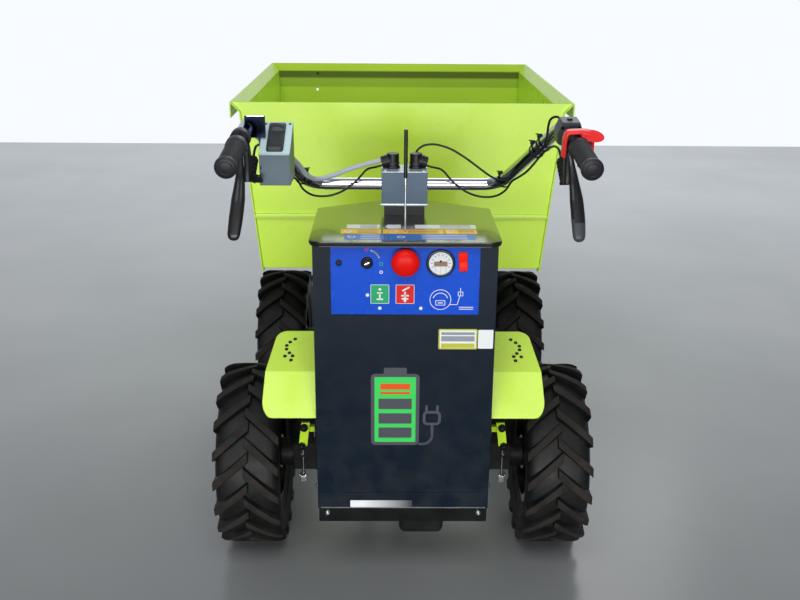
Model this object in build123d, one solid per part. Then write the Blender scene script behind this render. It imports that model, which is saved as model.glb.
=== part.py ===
"""Pedestrian battery dumper: chassis, four driven wheels, handlebar and a front-tipping skip.

Millimetres. X is to the machine's right, Y forward, Z up. The origin is on the floor under
the middle of the machine. The operator walks behind it, at the -Y end.
"""
from build123d import *
from math import cos, pi, radians, sin, tan
import os

os.makedirs("parts", exist_ok=True)

# ---- wheels and axles ----
WHEEL_RADIUS = 202.5
LUG_HEIGHT = 13.0
LUG_WIDTH = 19.0
LUG_ANGLE = 42.0
LUG_COUNT = 19
LUG_FROM_MIDDLE = 1.0
LUG_ROOT = 26.0
BEAD_COVER = 2.0
CROWN_SHARE = 0.93
TYRE_WIDTH = 140.0
TRACK = 662.0
WHEELBASE = 693.0
REAR_AXLE_Y = -406.0
RIM_SEAT_RADIUS = 101.6
RIM_FLANGE_HEIGHT = 11.5
RIM_WIDTH = 112.0
RIM_WALL = 4.0
DISC_THICKNESS = 6.0
DISC_OFFSET = 14.0
HUB_RADIUS = 38.0
HUB_LENGTH = 100.0
HUB_NOSE = 30.0
SPINDLE_RADIUS = 15.0
RUNNING_GAP = 0.05
FACE_GAP = 1.0
AXLE_NUT_RADIUS = 22.0
AXLE_NUT_LENGTH = 14.0
AXLE_BEAM = 60.0
AXLE_FLANGE_RADIUS = 32.0
AXLE_FLANGE_LENGTH = 28.0
GEAR_CASE_WIDTH = 120.0
GEAR_CASE_LENGTH = 130.0
GEAR_CASE_DROP = 78.0
GEAR_CASE_GAP = 20.0
SHAFT_RADIUS = 17.0

# ---- frame ----
RAIL_WIDTH = 40.0
RAIL_HEIGHT = 60.0
RAIL_BOTTOM_Z = 300.0
RAIL_INSIDE = 70.0
RAIL_REAR_Y = -590.0
RAIL_FRONT_Y = 480.0
CROSS_WIDTH = 40.0
CROSS_HEIGHT = 40.0

# ---- housing ----
HOUSING_HALF_WIDTH = 179.0
HOUSING_WAIST = 165.0
HOUSING_REAR_Y = -606.0
HOUSING_WAIST_Y = -372.0
HOUSING_NOSE_Y = -288.0
HOUSING_NOSE_HALF = 30.0
HOUSING_TOP_Z = 755.0
HOUSING_SEAM_Z = 212.0
HOUSING_SKIRT_Z = 176.0
HOUSING_SHEET = 2.5
LIP_BOTTOM_Z = 144.0
LIP_DEPTH = 18.0
LIP_INSET = 2.0
LIP_SHEET = 3.0
SIDE_NOTCH_Y = -500.0
SIDE_NOTCH_SLANT = 30.0
COVER_THICKNESS = 10.0
COVER_REAR_OVERHANG = 19.0
COVER_SIDE_OVERHANG = 5.0
COVER_CORNER = 24.0

# ---- drive and battery blocks ----
MOTOR_LEFT_X = -140.0
MOTOR_RIGHT_X = 87.0
MOTOR_BOTTOM_Z = 100.0
MOTOR_REAR_GAP = 18.0
BATTERY_WIDTH = 280.0
BATTERY_LENGTH = 235.0
BATTERY_HEIGHT = 225.0
BATTERY_REAR_GAP = 6.0

# ---- control plate; an item's place along it is a share of the plate's half width ----
PLATE_SIDE_MARGIN = 35.0
PLATE_TOP_MARGIN = 5.0
PLATE_HEIGHT = 137.0
PLATE_THICKNESS = 1.5
PANEL_ROW_DROP = 31.0
STOP_RADIUS = 26.0
STOP_NECK_RADIUS = 15.0
STOP_NECK_LENGTH = 12.0
STOP_HEAD_LENGTH = 16.0
STOP_CROWN_ROUND = 9.0
GAUGE_SHARE = 0.472
GAUGE_RADIUS = 28.0
GAUGE_DEPTH = 6.0
KEY_SHARE = -0.514
KEY_RADIUS = 11.0
KEY_DEPTH = 9.0
PLUG_SHARE = -0.889
PLUG_RADIUS = 6.0
PLUG_DEPTH = 4.0
LAMP_SHARE = 0.778
LAMP_WIDTH = 14.0
LAMP_HEIGHT = 36.0
LAMP_DEPTH = 6.0

# ---- fenders and the brake gear beside the housing ----
FENDER_SHEET = 3.0
FENDER_TOP_Y = -400.0
FENDER_TOP_Z = 496.0
FENDER_BEND_Y = -520.0
FENDER_BEND_Z = 452.0
FENDER_LOW_Y = -590.0
FENDER_LOW_Z = 378.0
FENDER_TOP_HALF = 274.0
FENDER_BEND_HALF = 290.0
FENDER_LOW_HALF = 294.0
FENDER_CORNER = 26.0
AXLE_BRACKET_THICKNESS = 12.0
AXLE_BRACKET_TOP_Z = 350.0
AXLE_BRACKET_REAR_Y = -545.0
LINK_X = 214.0
LINK_Y = -530.0
LINK_WIDTH = 18.0
LINK_THICKNESS = 6.0
LINK_TOP_Z = 340.0
LINK_BOTTOM_Z = 285.0
LINK_LEAN = -7.0
LINK_ARM = 12.0
BRAKE_ROD_RADIUS = 3.0
BRAKE_ROD_BOTTOM_Z = 212.0
CLEVIS_SIZE = 12.0

# ---- steering column and handlebar ----
COLUMN_Y = -395.0
COLUMN_WIDTH = 95.0
COLUMN_DEPTH = 70.0
COLUMN_HEIGHT = 70.0
COLUMN_BASE_WIDTH = 84.0
COLUMN_BASE_DEPTH = 60.0
COLUMN_BASE_HEIGHT = 22.0
BAR_RADIUS = 12.5
BAR_WALL = 2.5
BAR_Y = -390.0
BAR_DROP = 33.0
BAR_BEND_INSET = 86.0
BAR_BEND_RADIUS = 50.0
GRIP_BEND_X = 284.0
GRIP_BEND_BACK = 250.0
GRIP_BEND_RISE = 168.0
GRIP_BEND_RADIUS = 60.0
GRIP_END_X = 288.0
GRIP_END_BACK = 497.9
GRIP_END_RISE = 136.0
GRIP_RADIUS = 16.5
GRIP_LENGTH = 118.0
GRIP_RING_RADIUS = 18.5
GRIP_RING_INSET = 2.0
GRIP_RING_LENGTH = 8.0
GRIP_CAP = 5.0
SLIP_GAP = 0.2
GLAND_X = 24.0
GLAND_RADIUS = 13.0
GLAND_HEIGHT = 32.0
GLAND_ARM = 24.0
GLAND_TILT = 15.0
GLAND_MOUTH_RADIUS = 12.0
WHIP_Y = -550.0
WHIP_RADIUS = 2.0
WHIP_LENGTH = 200.0
WHIP_TIP_RECESS = 2.0
WHIP_SLEEVE_RADIUS = 3.8
WHIP_SLEEVE_LENGTH = 105.0

# ---- controls on the handlebar: along counts forward from a grip's free end, down from the bar ----
THROTTLE_LENGTH = 21.0
THROTTLE_RADIUS = 26.0
THROTTLE_SLOT = 19.0
WING_REACH = 46.0
WING_HEIGHT = 14.0
WING_LENGTH = 14.0
MOUNT_RADIUS = 17.0
MOUNT_LENGTH = 22.0
MOUNT_TURN = {-1: 6.0, 1: -7.0}
HANGER_HALF = 15.0
HANGER_CHEEK = 4.0
HANGER_TOP = 8.0
HANGER_SLOT_TOP = 20.0
HANGER_DROP = 72.0
HANGER_REAR = 108.0
HANGER_DEPTH = 25.0
LEVER_HALF = 10.0
LEVER_DEPTH = 12.0
LEVER_TOP_ALONG = 146.0
LEVER_TOP = 24.0
LEVER_KNEE_ALONG = 118.0
LEVER_KNEE = 75.0
LEVER_TIP_ALONG = 76.0
LEVER_TIP = 150.0
LEVER_PIN_ALONG = 134.0
LEVER_PIN_DROP = 36.0
LEVER_PIN_RADIUS = 3.0
BOOT_X = -20.0
BOOT_ALONG = 150.0
BOOT_DROP = 66.0
BOOT_TILT = 52.0
BOOT_LENGTH = 40.0
BOOT_RADIUS = 7.5
BOOT_RIB_RADIUS = 9.5
BOOT_RIBS = 5
BOOT_STOP = 6.0
HOUSING_LENGTH = 36.0
HOUSING_INBOARD = 28.0
HOUSING_OUTBOARD = 16.0
HOUSING_RISE = 28.0
HOUSING_DROP = 17.0
HOUSING_BEVEL = 7.0
BOSS_RADIUS = 4.5
BOSS_FOOT_X = -6.0
BOSS_FOOT_ALONG = 190.0
BOSS_FOOT_RISE = 20.0
BOSS_MOUTH_X = -13.7
BOSS_MOUTH_ALONG = 203.0
BOSS_MOUTH_RISE = 21.7
BOX_NEAR_BACK = 330.0
BOX_DEPTH = 80.0
BOX_RIGHT_INSET = 80.0
BOX_WIDTH = 53.5
BOX_BOTTOM_RISE = 71.0
BOX_NEAR_HEIGHT = 55.0
BOX_FAR_HEIGHT = 97.0
ROCKER_WIDTH = 27.0
ROCKER_RISE = 14.0
ROCKER_MARGIN = 4.0
BRACKET_SHEET = 3.0
BRACKET_ALONG = 206.0
BRACKET_RISE = 24.0
BRACKET_DROP = 14.0
BRACKET_OVERLAP = 12.0
TAB_LENGTH = 38.0
TAB_DROP = 50.0

# ---- cables ----
THIN_RADIUS = 2.2
CONDUIT_RADIUS = 5.0
CORNER_SHARE = 0.45
BAR_CLEARANCE = 0.5
CONDUIT_SEAT = 4.5
THIN_SEAT = 6.5
THIN_LEAD = 15.0
BOOT_LEAD = 22.0
BOSS_LEAD = 18.0
CONDUIT_LEAD = 26.0
SWITCH_CABLE_TURN = 35.0

# Cable corners. Under, over and by the grip: x outward, then forward of the bar and above it.
# Along the arm: run up it, and slack off it.
UNDER_BAR = ((78.0, -10.0, 34.0), (101.0, -20.0, 8.0), (128.0, -21.0, -12.0), (158.0, -19.0, -23.0),
             (190.0, -24.0, -21.0), (210.0, -38.0, -4.0))
UNDER_ARM = ((60.0, 0.0), (98.0, 5.0), (134.0, 8.0), (170.0, 5.0), (206.0, 0.0))
UNDER_GRIP = ((261.0, -208.0, 113.0), (263.0, -240.0, 124.0), (265.0, -266.0, 131.5))
OVER_BAR = ((22.0, 22.0, 62.0), (38.0, 20.0, 78.0), (62.0, 16.0, 82.0), (95.0, 11.0, 74.0),
            (128.0, 4.0, 55.0), (158.0, -6.0, 34.0), (182.0, -23.0, 19.0))
BESIDE_ARM = ((56.0, 2.0), (100.0, 0.5), (150.0, 3.0), (200.0, 2.0), (240.0, 0.0))
BESIDE_GRIP = ((255.3, -239.4, 145.4), (252.5, -259.6, 164.7), (253.5, -271.6, 180.7))
CONDUIT_LOW = ((-112.0, -8.0, 34.0), (-146.0, -15.0, 21.0), (-180.0, -34.0, 15.0),
               (-199.0, -65.0, 31.0))
CONDUIT_ARM = (100.0, 150.0)
CONDUIT_HIGH = ((-224.0, -170.0, 102.0), (-224.0, -210.0, 122.0), (-224.0, -250.0, 122.0))

# ---- skip ----
SKIP_SHEET = 3.0
SKIP_REAR_Y = -10.0
SKIP_FLOOR_Z = 517.0
SKIP_FLOOR_LENGTH = 480.0
SKIP_SLOPE_REACH = 375.0
SKIP_SLOPE_RISE = 351.0
SKIP_STRIP_REACH = 23.0
SKIP_STRIP_RISE = 48.0
SKIP_FLOOR_HALF = 357.0
SKIP_TOP_HALF = 397.0
SKIP_RIM_OUT = 22.0
SKIP_RIM_UP = 22.0
SKIP_RIM_LIP = 37.0
SKIP_SIDE_OVERLAP = 8.0
SKIP_SIDE_DROP = 10.0
HEM_ABOVE_FLOOR = 138.0
HEM_HEIGHT = 9.0
HEM_DEPTH = 7.0
HOLE_X = -267.0
HOLE_RADIUS = 4.0
HOLE_DROP = 8.0

# ---- lashing eye at the frame's front ----
LASHING_EYE_RADIUS = 10.0
LASHING_EYE_LENGTH = 34.0
LASHING_EYE_HEIGHT = 40.0
LASHING_EYE_THICKNESS = 10.0

# ---- skip pivot, rests and actuator ----
PIVOT_Y = 440.0
PIVOT_Z = 440.0
PIVOT_PIN_RADIUS = 10.0
PIVOT_EYE_RADIUS = 22.0
PIVOT_EAR_THICKNESS = 8.0
PIVOT_LUG_THICKNESS = 12.0
PIVOT_LUG_LENGTH = 60.0
PIVOT_POST_LENGTH = 80.0
REST_Y = 40.0
REST_POST = 36.0
REST_PAD_HEIGHT = 14.0
REST_PAD_MARGIN = 2.0
REST_GAP = 0.3
ACTUATOR_BASE_Y = -180.0
ACTUATOR_BASE_Z = 315.0
ACTUATOR_EYE_Y = 325.0
ACTUATOR_EYE_Z = 462.0
ACTUATOR_RADIUS = 26.0
ACTUATOR_ROD_RADIUS = 12.5
ACTUATOR_EYE_RADIUS = 15.0
ACTUATOR_EYE_WIDTH = 24.0
ACTUATOR_PIN_RADIUS = 7.0
ACTUATOR_TUBE_START = 30.0
ACTUATOR_TUBE_LENGTH = 350.0
ACTUATOR_BORE_START = 62.0
ACTUATOR_ROD_START = 90.0
ACTUATOR_GEARBOX_START = 22.0
ACTUATOR_GEARBOX_LENGTH = 40.0
ACTUATOR_MOTOR_OFFSET = 56.0
ACTUATOR_MOTOR_RADIUS = 26.0
ACTUATOR_MOTOR_LENGTH = 110.0
ACTUATOR_EAR_GAP = 2.0
ACTUATOR_EAR_THICKNESS = 8.0
ACTUATOR_EAR_LENGTH = 80.0

# ---- worked out ----
FRONT_AXLE_Y = REAR_AXLE_Y + WHEELBASE
AXLE_Z = WHEEL_RADIUS
RAIL_TOP_Z = RAIL_BOTTOM_Z + RAIL_HEIGHT
RAIL_OUTSIDE = RAIL_INSIDE + RAIL_WIDTH
RAIL_MIDDLE = RAIL_INSIDE + RAIL_WIDTH / 2
PANEL_FACE_Y = HOUSING_REAR_Y - PLATE_THICKNESS
COVER_TOP_Z = HOUSING_TOP_Z + COVER_THICKNESS
COLUMN_BOTTOM_Z = COVER_TOP_Z + COLUMN_BASE_HEIGHT
COLUMN_TOP_Z = COLUMN_BOTTOM_Z + COLUMN_HEIGHT
PLATE_HALF_WIDTH = HOUSING_HALF_WIDTH - PLATE_SIDE_MARGIN
PLATE_TOP_Z = HOUSING_TOP_Z - PLATE_TOP_MARGIN
PLATE_BOTTOM_Z = PLATE_TOP_Z - PLATE_HEIGHT
PANEL_ROW_Z = PLATE_TOP_Z - PANEL_ROW_DROP
PLUG_X = PLUG_SHARE * PLATE_HALF_WIDTH
KEY_X = KEY_SHARE * PLATE_HALF_WIDTH
GAUGE_X = GAUGE_SHARE * PLATE_HALF_WIDTH
LAMP_X = LAMP_SHARE * PLATE_HALF_WIDTH
SKIP_FLOOR_FRONT_Y = SKIP_REAR_Y + SKIP_FLOOR_LENGTH
SKIP_KNEE_Y = SKIP_FLOOR_FRONT_Y + SKIP_SLOPE_REACH
SKIP_KNEE_Z = SKIP_FLOOR_Z + SKIP_SLOPE_RISE
SKIP_WALL_FRONT_Y = SKIP_KNEE_Y + SKIP_STRIP_REACH
SKIP_WALL_TOP_Z = SKIP_KNEE_Z + SKIP_STRIP_RISE
SKIP_RIM_Z = SKIP_WALL_TOP_Z + SKIP_RIM_UP
SKIP_FAR = 2 * SKIP_TOP_HALF
HEM_Z = SKIP_FLOOR_Z + HEM_ABOVE_FLOOR
HUB_IN = TRACK / 2 - (HUB_LENGTH - DISC_OFFSET - HUB_NOSE)
HUB_OUT = HUB_IN + HUB_LENGTH
BAR_BEND_X = GRIP_BEND_X - BAR_BEND_INSET
BAR_Z = COLUMN_TOP_Z - BAR_DROP
GRIP_BEND_Y = BAR_Y - GRIP_BEND_BACK
GRIP_BEND_Z = BAR_Z + GRIP_BEND_RISE
GRIP_END_Y = BAR_Y - GRIP_END_BACK
GRIP_END_Z = BAR_Z + GRIP_END_RISE
WHIP_TOP_Z = COVER_TOP_Z + WHIP_LENGTH
THROTTLE_START = GRIP_LENGTH + FACE_GAP
MOUNT_START = THROTTLE_START + THROTTLE_LENGTH + FACE_GAP
HOUSING_START = MOUNT_START + MOUNT_LENGTH + FACE_GAP
BAR_BORE = BAR_RADIUS + SLIP_GAP
BOX_RIGHT_X = BOX_RIGHT_INSET - GRIP_BEND_X
BOX_LEFT_X = BOX_RIGHT_X - BOX_WIDTH
BOX_NEAR_Y = BAR_Y - BOX_NEAR_BACK
BOX_BOTTOM_Z = BAR_Z + BOX_BOTTOM_RISE
BOX_FAR_Y = BOX_NEAR_Y + BOX_DEPTH
SIDES = (("left", -1), ("right", 1))
AXLES = (("rear", REAR_AXLE_Y, AXLE_BEAM / 2), ("front", FRONT_AXLE_Y, GEAR_CASE_LENGTH / 2))


def block(x0, x1, y0, y1, z0, z1):
    """A box between two corners."""
    return Pos((x0 + x1) / 2, (y0 + y1) / 2, (z0 + z1) / 2) * Box(x1 - x0, y1 - y0, z1 - z0)


def prism_x(outline, x0, x1):
    """A (y, z) outline carried along X."""
    face = make_face(Polyline(*[(x0, y, z) for y, z in outline], close=True))
    return extrude(face, amount=x1 - x0, dir=(1, 0, 0))


def prism_y(outline, y0, y1):
    """An (x, z) outline carried along Y."""
    face = make_face(Polyline(*[(x, y0, z) for x, z in outline], close=True))
    return extrude(face, amount=y1 - y0, dir=(0, 1, 0))


def prism_z(outline, z0, z1):
    """An (x, y) outline carried along Z."""
    face = make_face(Polyline(*[(x, y, z0) for x, y in outline], close=True))
    return extrude(face, amount=z1 - z0, dir=(0, 0, 1))


def rod(start, end, radius):
    """A round bar from one point to another."""
    run = Vector(*end) - Vector(*start)
    bar = Cylinder(radius, run.length, align=(Align.CENTER, Align.CENTER, Align.MIN))
    return Plane(origin=start, z_dir=run) * bar


def turned(outline, centre):
    """An (x, radius) outline turned about the X axis through a centre."""
    cx, cy, cz = centre
    face = make_face(Polyline(*[(cx + x, cy, cz + r) for x, r in outline], close=True))
    return revolve(face, Axis((cx, cy, cz), (1, 0, 0)), 360)


def mirrored(solid):
    """The same piece on the other side of the machine."""
    return mirror(solid, Plane.YZ)


def pair(solid):
    """A piece and its mirror image, as one node of two solids."""
    return Compound(children=[solid, mirrored(solid)])


def save(node, solid):
    export_step(solid, f"parts/{node}.step")


# ---- wheels ----
def faceted(outline, count):
    """An (x, radius) outline carried round the X axis in flat facets."""
    far = 2 * WHEEL_RADIUS
    spread = far * tan(pi / count)
    slab = prism_y(outline, -spread, spread)
    facet = slab & prism_x([(0, 0), (spread, far), (-spread, far)], -far, far)
    return facet + [Rot(360 * i / count, 0, 0) * facet for i in range(1, count)]


def lug():
    """One slanting bar of the tread, over the wheel's top, from near the middle out to the right edge."""
    lean = tan(radians(LUG_ANGLE))
    half = LUG_WIDTH / 2 / cos(radians(LUG_ANGLE))
    start = LUG_FROM_MIDDLE
    end = TYRE_WIDTH / 2
    reach = (end - start) / 2 * lean
    plan_view = [(start, reach - half), (end, -reach - half), (end, half - reach), (start, reach + half)]
    edge = 2 * (reach + half)
    fall = edge * tan(pi / LUG_COUNT)
    root = WHEEL_RADIUS - LUG_ROOT
    roof = prism_x([(-edge, root), (edge, root), (edge, WHEEL_RADIUS - fall), (0, WHEEL_RADIUS),
                    (-edge, WHEEL_RADIUS - fall)], -end, end)
    return prism_z(plan_view, root, WHEEL_RADIUS) & roof


def tyre():
    """Faceted carcass with two staggered rows of lugs, centred on the origin."""
    seat = RIM_SEAT_RADIUS
    bead = RIM_WIDTH / 2 - RIM_WALL - SLIP_GAP
    crown = (WHEEL_RADIUS - LUG_HEIGHT) * cos(pi / LUG_COUNT)
    shoulder = CROWN_SHARE * TYRE_WIDTH / 2
    right = [(bead, seat), (bead, seat + RIM_FLANGE_HEIGHT + BEAD_COVER), (shoulder, crown)]
    carcass = faceted(right + [(-x, r) for x, r in reversed(right)], LUG_COUNT)
    turn = 360 / LUG_COUNT
    bar = lug()
    rows = [Rot(turn * (i + 0.5), 0, 0) * bar for i in range(LUG_COUNT)]
    rows += [Rot(turn * i, 0, 0) * mirrored(bar) for i in range(LUG_COUNT)]
    return carcass + rows


def rim(centre, side):
    """Barrel with two flanges, a disc and the hub with its bore."""
    half = RIM_WIDTH / 2
    seat = RIM_SEAT_RADIUS - SLIP_GAP
    flange = RIM_SEAT_RADIUS + RIM_FLANGE_HEIGHT
    inner = seat - RIM_WALL
    barrel = turned(
        [(-half, inner), (half, inner), (half, flange), (half - RIM_WALL, flange),
         (half - RIM_WALL, seat), (RIM_WALL - half, seat), (RIM_WALL - half, flange), (-half, flange)],
        centre,
    )
    cx, cy, cz = centre
    disc_x = cx + side * DISC_OFFSET
    disc_end = disc_x + side * DISC_THICKNESS
    hub_in = side * HUB_IN
    hub_out = side * HUB_OUT
    disc = rod((disc_x, cy, cz), (disc_end, cy, cz), inner)
    hub = rod((hub_in, cy, cz), (hub_out, cy, cz), HUB_RADIUS)
    bore = rod((hub_in - side, cy, cz), (hub_out + side, cy, cz), SPINDLE_RADIUS + RUNNING_GAP)
    return barrel + disc + hub - bore


# ---- axles ----
def axle(axle_y, case_rear):
    """Gear case with a square beam and a turned spindle to each side."""
    half = AXLE_BEAM / 2
    flange_end = HUB_IN - FACE_GAP
    beam_end = flange_end - AXLE_FLANGE_LENGTH
    nut_in = HUB_OUT + FACE_GAP
    nut_out = nut_in + AXLE_NUT_LENGTH
    body = block(-GEAR_CASE_WIDTH / 2, GEAR_CASE_WIDTH / 2, axle_y - case_rear,
                 axle_y + GEAR_CASE_LENGTH / 2, AXLE_Z - GEAR_CASE_DROP, RAIL_BOTTOM_Z - GEAR_CASE_GAP)
    body += block(-beam_end, beam_end, axle_y - half, axle_y + half, AXLE_Z - half, AXLE_Z + half)
    saddle = block(RAIL_INSIDE, RAIL_OUTSIDE, axle_y - half, axle_y + half, AXLE_Z + half, RAIL_BOTTOM_Z)
    end = saddle + rod((beam_end, axle_y, AXLE_Z), (flange_end, axle_y, AXLE_Z), AXLE_FLANGE_RADIUS)
    end += rod((beam_end, axle_y, AXLE_Z), (nut_out, axle_y, AXLE_Z), SPINDLE_RADIUS)
    end += rod((nut_in, axle_y, AXLE_Z), (nut_out, axle_y, AXLE_Z), AXLE_NUT_RADIUS)
    return body + end + mirrored(end)


def gear_motor():
    """Drive motor and first reduction as one block, hung under the rails."""
    return block(MOTOR_LEFT_X, MOTOR_RIGHT_X, HOUSING_REAR_Y + MOTOR_REAR_GAP,
                 REAR_AXLE_Y - AXLE_BEAM / 2, MOTOR_BOTTOM_Z, RAIL_BOTTOM_Z)


def drive_shaft():
    """Shaft from the rear gear case to the front one."""
    start = REAR_AXLE_Y + GEAR_CASE_LENGTH / 2
    end = FRONT_AXLE_Y - GEAR_CASE_LENGTH / 2
    return rod((0, start, AXLE_Z), (0, end, AXLE_Z), SHAFT_RADIUS)


# ---- frame ----
def frame_rails():
    return pair(block(RAIL_INSIDE, RAIL_OUTSIDE, RAIL_REAR_Y, RAIL_FRONT_Y, RAIL_BOTTOM_Z, RAIL_TOP_Z))


def cross_member(middle_y):
    low = RAIL_BOTTOM_Z + (RAIL_HEIGHT - CROSS_HEIGHT) / 2
    return block(-RAIL_INSIDE, RAIL_INSIDE, middle_y - CROSS_WIDTH / 2, middle_y + CROSS_WIDTH / 2,
                 low, low + CROSS_HEIGHT)


def actuator_ears(ear_y, ear_z, back_y, back_z0, back_z1):
    """Two plates that hold a cross pin, running back to what carries them."""
    inner = ACTUATOR_EYE_WIDTH / 2 + ACTUATOR_EAR_GAP
    plate = prism_x([(back_y, back_z0), (ear_y, ear_z - ACTUATOR_EYE_RADIUS),
                     (ear_y, ear_z + ACTUATOR_EYE_RADIUS), (back_y, back_z1)],
                    inner, inner + ACTUATOR_EAR_THICKNESS)
    plate += rod((inner, ear_y, ear_z), (inner + ACTUATOR_EAR_THICKNESS, ear_y, ear_z),
                 ACTUATOR_EYE_RADIUS)
    return plate


def frame_crossmembers():
    """Cross members; the second carries the actuator's rear ears and their pin."""
    rear = cross_member(RAIL_REAR_Y + CROSS_WIDTH / 2)
    base_y = ACTUATOR_BASE_Y - 2 * ACTUATOR_EYE_RADIUS - CROSS_WIDTH / 2
    base = cross_member(base_y)
    low = RAIL_BOTTOM_Z + (RAIL_HEIGHT - CROSS_HEIGHT) / 2
    ear = actuator_ears(ACTUATOR_BASE_Y, ACTUATOR_BASE_Z, base_y + CROSS_WIDTH / 2,
                        low, low + CROSS_HEIGHT)
    reach = ACTUATOR_EYE_WIDTH / 2 + ACTUATOR_EAR_GAP + ACTUATOR_EAR_THICKNESS
    pin = rod((-reach, ACTUATOR_BASE_Y, ACTUATOR_BASE_Z), (reach, ACTUATOR_BASE_Y, ACTUATOR_BASE_Z),
              ACTUATOR_PIN_RADIUS)
    base = base + ear + mirrored(ear) + pin
    front = cross_member(RAIL_FRONT_Y - CROSS_WIDTH / 2) + lashing_eye()
    return Compound(children=[rear, base, front])


def lashing_eye():
    """Plate with a cross bore, forward of the front cross member."""
    half = LASHING_EYE_THICKNESS / 2
    middle = RAIL_BOTTOM_Z + RAIL_HEIGHT / 2
    plate = block(-half, half, RAIL_FRONT_Y, RAIL_FRONT_Y + LASHING_EYE_LENGTH,
                  middle - LASHING_EYE_HEIGHT / 2, middle + LASHING_EYE_HEIGHT / 2)
    bore_y = RAIL_FRONT_Y + LASHING_EYE_LENGTH / 2
    return plate - rod((-half, bore_y, middle), (half, bore_y, middle), LASHING_EYE_RADIUS)


def pivot_posts():
    """On each rail two plates with the pin that the skip's lug turns on."""
    inner = RAIL_MIDDLE - PIVOT_LUG_THICKNESS / 2 - FACE_GAP
    outer = RAIL_MIDDLE + PIVOT_LUG_THICKNESS / 2 + FACE_GAP
    foot = PIVOT_POST_LENGTH / 2
    outline = [(PIVOT_Y - foot, RAIL_TOP_Z), (PIVOT_Y + foot, RAIL_TOP_Z),
               (PIVOT_Y + PIVOT_EYE_RADIUS, PIVOT_Z), (PIVOT_Y - PIVOT_EYE_RADIUS, PIVOT_Z)]
    post = rod((inner - PIVOT_EAR_THICKNESS, PIVOT_Y, PIVOT_Z),
               (outer + PIVOT_EAR_THICKNESS, PIVOT_Y, PIVOT_Z), PIVOT_PIN_RADIUS)
    for start in (inner - PIVOT_EAR_THICKNESS, outer):
        post += prism_x(outline, start, start + PIVOT_EAR_THICKNESS)
        post += rod((start, PIVOT_Y, PIVOT_Z), (start + PIVOT_EAR_THICKNESS, PIVOT_Y, PIVOT_Z),
                    PIVOT_EYE_RADIUS)
    return pair(post)


def rest_posts():
    """Posts on the rails that the lowered skip lies on."""
    half = REST_POST / 2
    top = SKIP_FLOOR_Z - REST_GAP - REST_PAD_HEIGHT
    return pair(block(RAIL_MIDDLE - half, RAIL_MIDDLE + half, REST_Y - half, REST_Y + half,
                      RAIL_TOP_Z, top))


def rest_pads():
    """Rubber pads on the rest posts."""
    top = SKIP_FLOOR_Z - REST_GAP
    half = REST_POST / 2 + REST_PAD_MARGIN
    return pair(block(RAIL_MIDDLE - half, RAIL_MIDDLE + half, REST_Y - half, REST_Y + half,
                      top - REST_PAD_HEIGHT, top))


# ---- housing ----
def plan(half, waist, rear_y, waist_y, nose_y, nose_half):
    """The housing's outline from above."""
    return [(-half, rear_y), (half, rear_y), (waist, waist_y), (nose_half, nose_y),
            (-nose_half, nose_y), (-waist, waist_y)]


def housing_ring(z0, z1):
    """The closed ring of sheet between the rear panel and the nose."""
    sheet = HOUSING_SHEET
    inside_y = HOUSING_REAR_Y + sheet
    outer = prism_z(plan(HOUSING_HALF_WIDTH, HOUSING_WAIST, inside_y, HOUSING_WAIST_Y,
                         HOUSING_NOSE_Y, HOUSING_NOSE_HALF), z0, z1)
    inner = prism_z(plan(HOUSING_HALF_WIDTH - sheet, HOUSING_WAIST - sheet, inside_y - sheet,
                         HOUSING_WAIST_Y - sheet, HOUSING_NOSE_Y - sheet, HOUSING_NOSE_HALF), z0, z1)
    return outer - inner


def housing_back():
    return block(-HOUSING_HALF_WIDTH, HOUSING_HALF_WIDTH, HOUSING_REAR_Y, HOUSING_REAR_Y + HOUSING_SHEET,
                 HOUSING_SEAM_Z + FACE_GAP, HOUSING_TOP_Z)


def housing_sides():
    """Side sheets, cut up to the rails over the axle."""
    far = 2 * HOUSING_HALF_WIDTH
    keep = prism_x([(HOUSING_REAR_Y, HOUSING_SKIRT_Z), (SIDE_NOTCH_Y, HOUSING_SKIRT_Z),
                    (SIDE_NOTCH_Y + SIDE_NOTCH_SLANT, RAIL_BOTTOM_Z), (HOUSING_WAIST_Y, RAIL_BOTTOM_Z),
                    (HOUSING_WAIST_Y, HOUSING_TOP_Z), (HOUSING_REAR_Y, HOUSING_TOP_Z)],
                   HOUSING_NOSE_HALF, far)
    return pair(housing_ring(HOUSING_SKIRT_Z, HOUSING_TOP_Z) & keep)


def housing_front():
    """Folded front sheet, standing just above the rails."""
    low = RAIL_TOP_Z + FACE_GAP
    keep = block(-HOUSING_HALF_WIDTH, HOUSING_HALF_WIDTH, HOUSING_WAIST_Y, 0, low, HOUSING_TOP_Z)
    return housing_ring(low, HOUSING_TOP_Z) & keep


def lower_skirt():
    return block(-HOUSING_HALF_WIDTH, HOUSING_HALF_WIDTH, HOUSING_REAR_Y, HOUSING_REAR_Y + HOUSING_SHEET,
                 HOUSING_SKIRT_Z, HOUSING_SEAM_Z)


def rear_lip():
    """Bottom edge strip, folded forward underneath."""
    half = HOUSING_HALF_WIDTH - LIP_INSET
    sheet = LIP_SHEET
    strip = block(-half, half, HOUSING_REAR_Y, HOUSING_REAR_Y + sheet, LIP_BOTTOM_Z, HOUSING_SKIRT_Z)
    strip += block(-half, half, HOUSING_REAR_Y, HOUSING_REAR_Y + LIP_DEPTH, LIP_BOTTOM_Z,
                   LIP_BOTTOM_Z + sheet)
    return strip


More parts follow.
